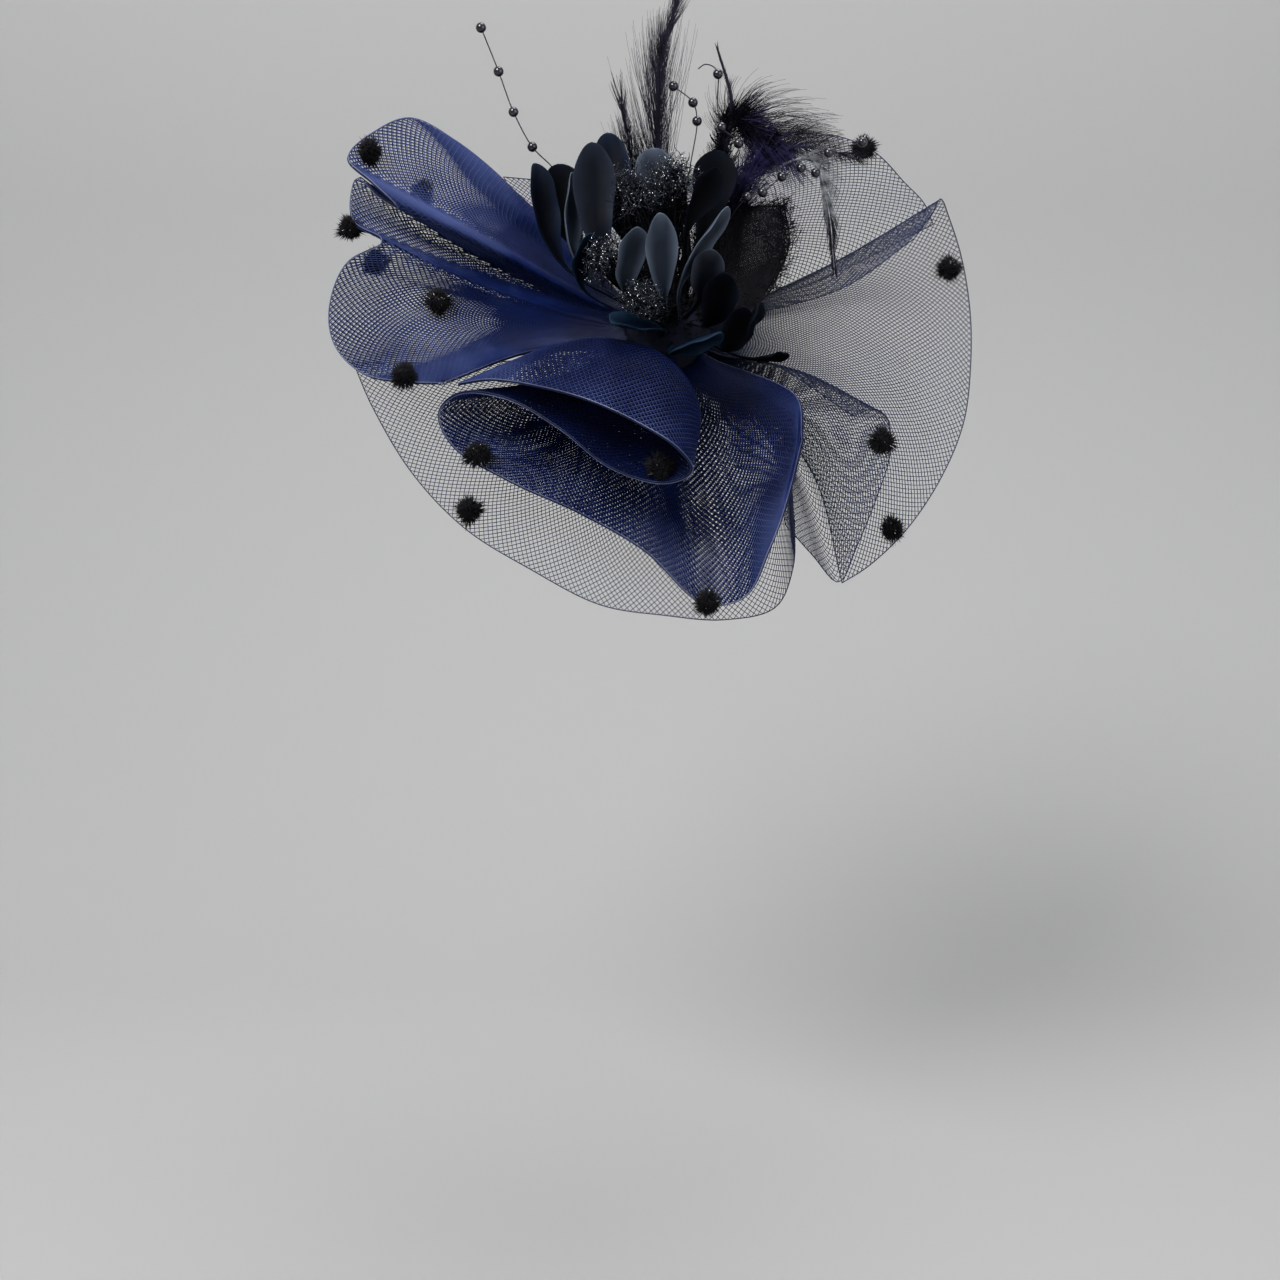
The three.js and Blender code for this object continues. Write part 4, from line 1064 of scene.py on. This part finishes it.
# The base under the ruffle, the core inside the gathers and the clip. Outlines are (radius, lift) pairs.
AXIS_GAP = 0.5 * MM  # the hole that a cap closes
BASE_OUTLINE = [(AXIS_GAP, 0), (BASE_RADIUS, 0), (BASE_RADIUS, BASE_THICKNESS), (AXIS_GAP, BASE_THICKNESS)]
BASE_BEVEL = 0.6 * MM
CORE_OUTLINE = np.array([(0.5, 2.7), (19.5, 2.7), (19.5, 17), (15, 22), (8, 26), (0.5, 27.8)]) * MM
CORE_BEVEL = 1.2 * MM
CORE_MIDDLE = on_base(0, 0, 13 * MM)
NAP_FIBRES = 500
NAP_ROOT = 15 * MM
NAP_WIDTH = 0.9 * MM
CLIP_LENGTH = 46 * MM
CLIP_WIDTH = 8 * MM
CLIP_THICKNESS = 2.4 * MM
CLIP_LIFT = -0.3 * MM
CLIP_BEVEL = [(0.5, 0), (0.15, 0.15), (0, 0.5)]  # (inset, drop) pairs in millimetres


def turned(outline, around=72):
    """A shape turned round the base's axis from its outline, closed at both ends."""
    turn = np.linspace(0, 360, around, endpoint=False)
    rings = [[on_base(t, radius, lift) for t in turn] for radius, lift in outline]
    return np.array(rings).reshape(-1, 3), stacked(len(outline), around)


def rounded(corners, bevel, steps=5):
    """An outline with its corners rounded, its two ends left as they are."""
    corners = np.array(corners, float)
    points = [corners[0]]
    for before, corner, after in zip(corners, corners[1:], corners[2:]):
        start = corner + unit(before - corner) * bevel
        end = corner + unit(after - corner) * bevel
        for s in np.linspace(0, 1, steps):
            points.append(start * (1 - s) ** 2 + corner * 2 * s * (1 - s) + end * s ** 2)
    points.append(corners[-1])
    return points


def make_base():
    disc = mesh_object("felt_base", *turned(rounded(BASE_OUTLINE, BASE_BEVEL)), [FELT])
    dress(disc, "base_disc")
    ways = scattered(NAP_FIBRES)
    roots = CORE_MIDDLE + ways * NAP_ROOT
    nap = spikes(roots, roots + ways * rng.uniform(5, 11, (NAP_FIBRES, 1)) * MM, NAP_WIDTH)
    knob = turned(rounded(CORE_OUTLINE, CORE_BEVEL))
    dress(several("sewn_core", [(FELT, [knob]), (PILE, [nap])]), "flower_core")


def make_clip():
    turn = np.radians(np.linspace(0, 360, 64, endpoint=False))
    end = np.where(np.cos(turn) > 0, 1, -1) * (CLIP_LENGTH - CLIP_WIDTH) / 2
    levels = [(inset * MM, drop * MM) for inset, drop in CLIP_BEVEL]
    levels += [(inset, CLIP_THICKNESS - drop) for inset, drop in reversed(levels)]
    rings = []
    for inset, drop in levels:
        reach = CLIP_WIDTH / 2 - inset
        x, y = end + reach * np.cos(turn), reach * np.sin(turn)
        rings.append(x[:, None] * ACROSS + y[:, None] * UPHILL + (CLIP_LIFT - drop) * OUTWARD)
    faces = [block[:, ::-1] for block in stacked(len(levels), len(turn))]
    dress(mesh_object("clip_plate", np.concatenate(rings), faces, [CLIP]), "hair_clip")


make_base()
make_clip()


# The stage: a pale floor that turns up into a backdrop, soft studio light and the camera
FLOOR_Z = -0.42
BACKDROP_Y = 0.75
SWEEP_RADIUS = 0.5
STAGE_REACH = 4.0
STAGE_GLOW = 0.18  # the light that the far stage gives of its own, where the lamps don't reach
GLOW_FROM = 1.1
GLOW_TO = 2.8

# The lamps, as (name, place, size, power)
LAMPS = [
    ("key", (-0.7, -0.9, 1.1), 0.7, 26),
    ("fill", (1.1, -0.9, 0.4), 1.2, 9),
    ("top", (0.2, 0.2, 1.4), 0.9, 12),
]


def make_stage():
    made = Nodes("backdrop", rough=0.9, gloss=0.2, Base_Color=(0.4, 0.4, 0.395, 1),
                 Emission_Color=(0.93, 0.97, 1.0, 1))
    glow = made.add("ShaderNodeMapRange", interpolation_type="SMOOTHSTEP", From_Min=GLOW_FROM,
                    From_Max=GLOW_TO, To_Min=0.0, To_Max=STAGE_GLOW)
    made.link(made.distance(), glow.inputs["Value"])
    made.link(glow.outputs["Result"], made.shader.inputs["Emission Strength"])
    angle = np.linspace(0, math.pi / 2, 13)
    profile = [(-STAGE_REACH, FLOOR_Z)]
    profile += [(BACKDROP_Y - SWEEP_RADIUS + SWEEP_RADIUS * math.sin(a),
                 FLOOR_Z + SWEEP_RADIUS - SWEEP_RADIUS * math.cos(a)) for a in angle]
    profile.append((BACKDROP_Y, STAGE_REACH))
    points = [(side * STAGE_REACH, y, z) for y, z in profile for side in (-1, 1)]
    faces = np.arange(len(profile) - 1)[:, None] * 2 + [1, 3, 2, 0]
    mesh_object("backdrop", np.array(points), [faces], [made.material])


def make_lamp(name, place, size, power):
    """A square lamp that faces the middle of the frame."""
    data = bpy.data.lights.new(name, "AREA")
    data.size = size
    data.energy = power
    light = added(name, data)
    light.location = place
    x, y, z = place
    light.rotation_euler = (math.atan2(math.hypot(x, y), z), 0, math.atan2(-y, -x) - math.pi / 2)


def make_world():
    world = bpy.data.worlds.new("studio")
    world.use_nodes = True
    sky = world.node_tree.nodes["Background"]
    sky.inputs["Color"].default_value = (0.9, 0.95, 1.0, 1)
    sky.inputs["Strength"].default_value = 0.32
    bpy.context.scene.world = world


def make_camera():
    data = bpy.data.cameras.new("camera")
    data.lens = 53.86
    data.sensor_width = 36
    camera = added("camera", data)
    camera.location = (-0.01316, -0.90867, 0.05381)
    camera.rotation_euler = (math.radians(78), 0, 0)
    bpy.context.scene.camera = camera


make_stage()
for lamp in LAMPS:
    make_lamp(*lamp)
make_world()
make_camera()
bpy.context.scene.view_settings.view_transform = "Standard"
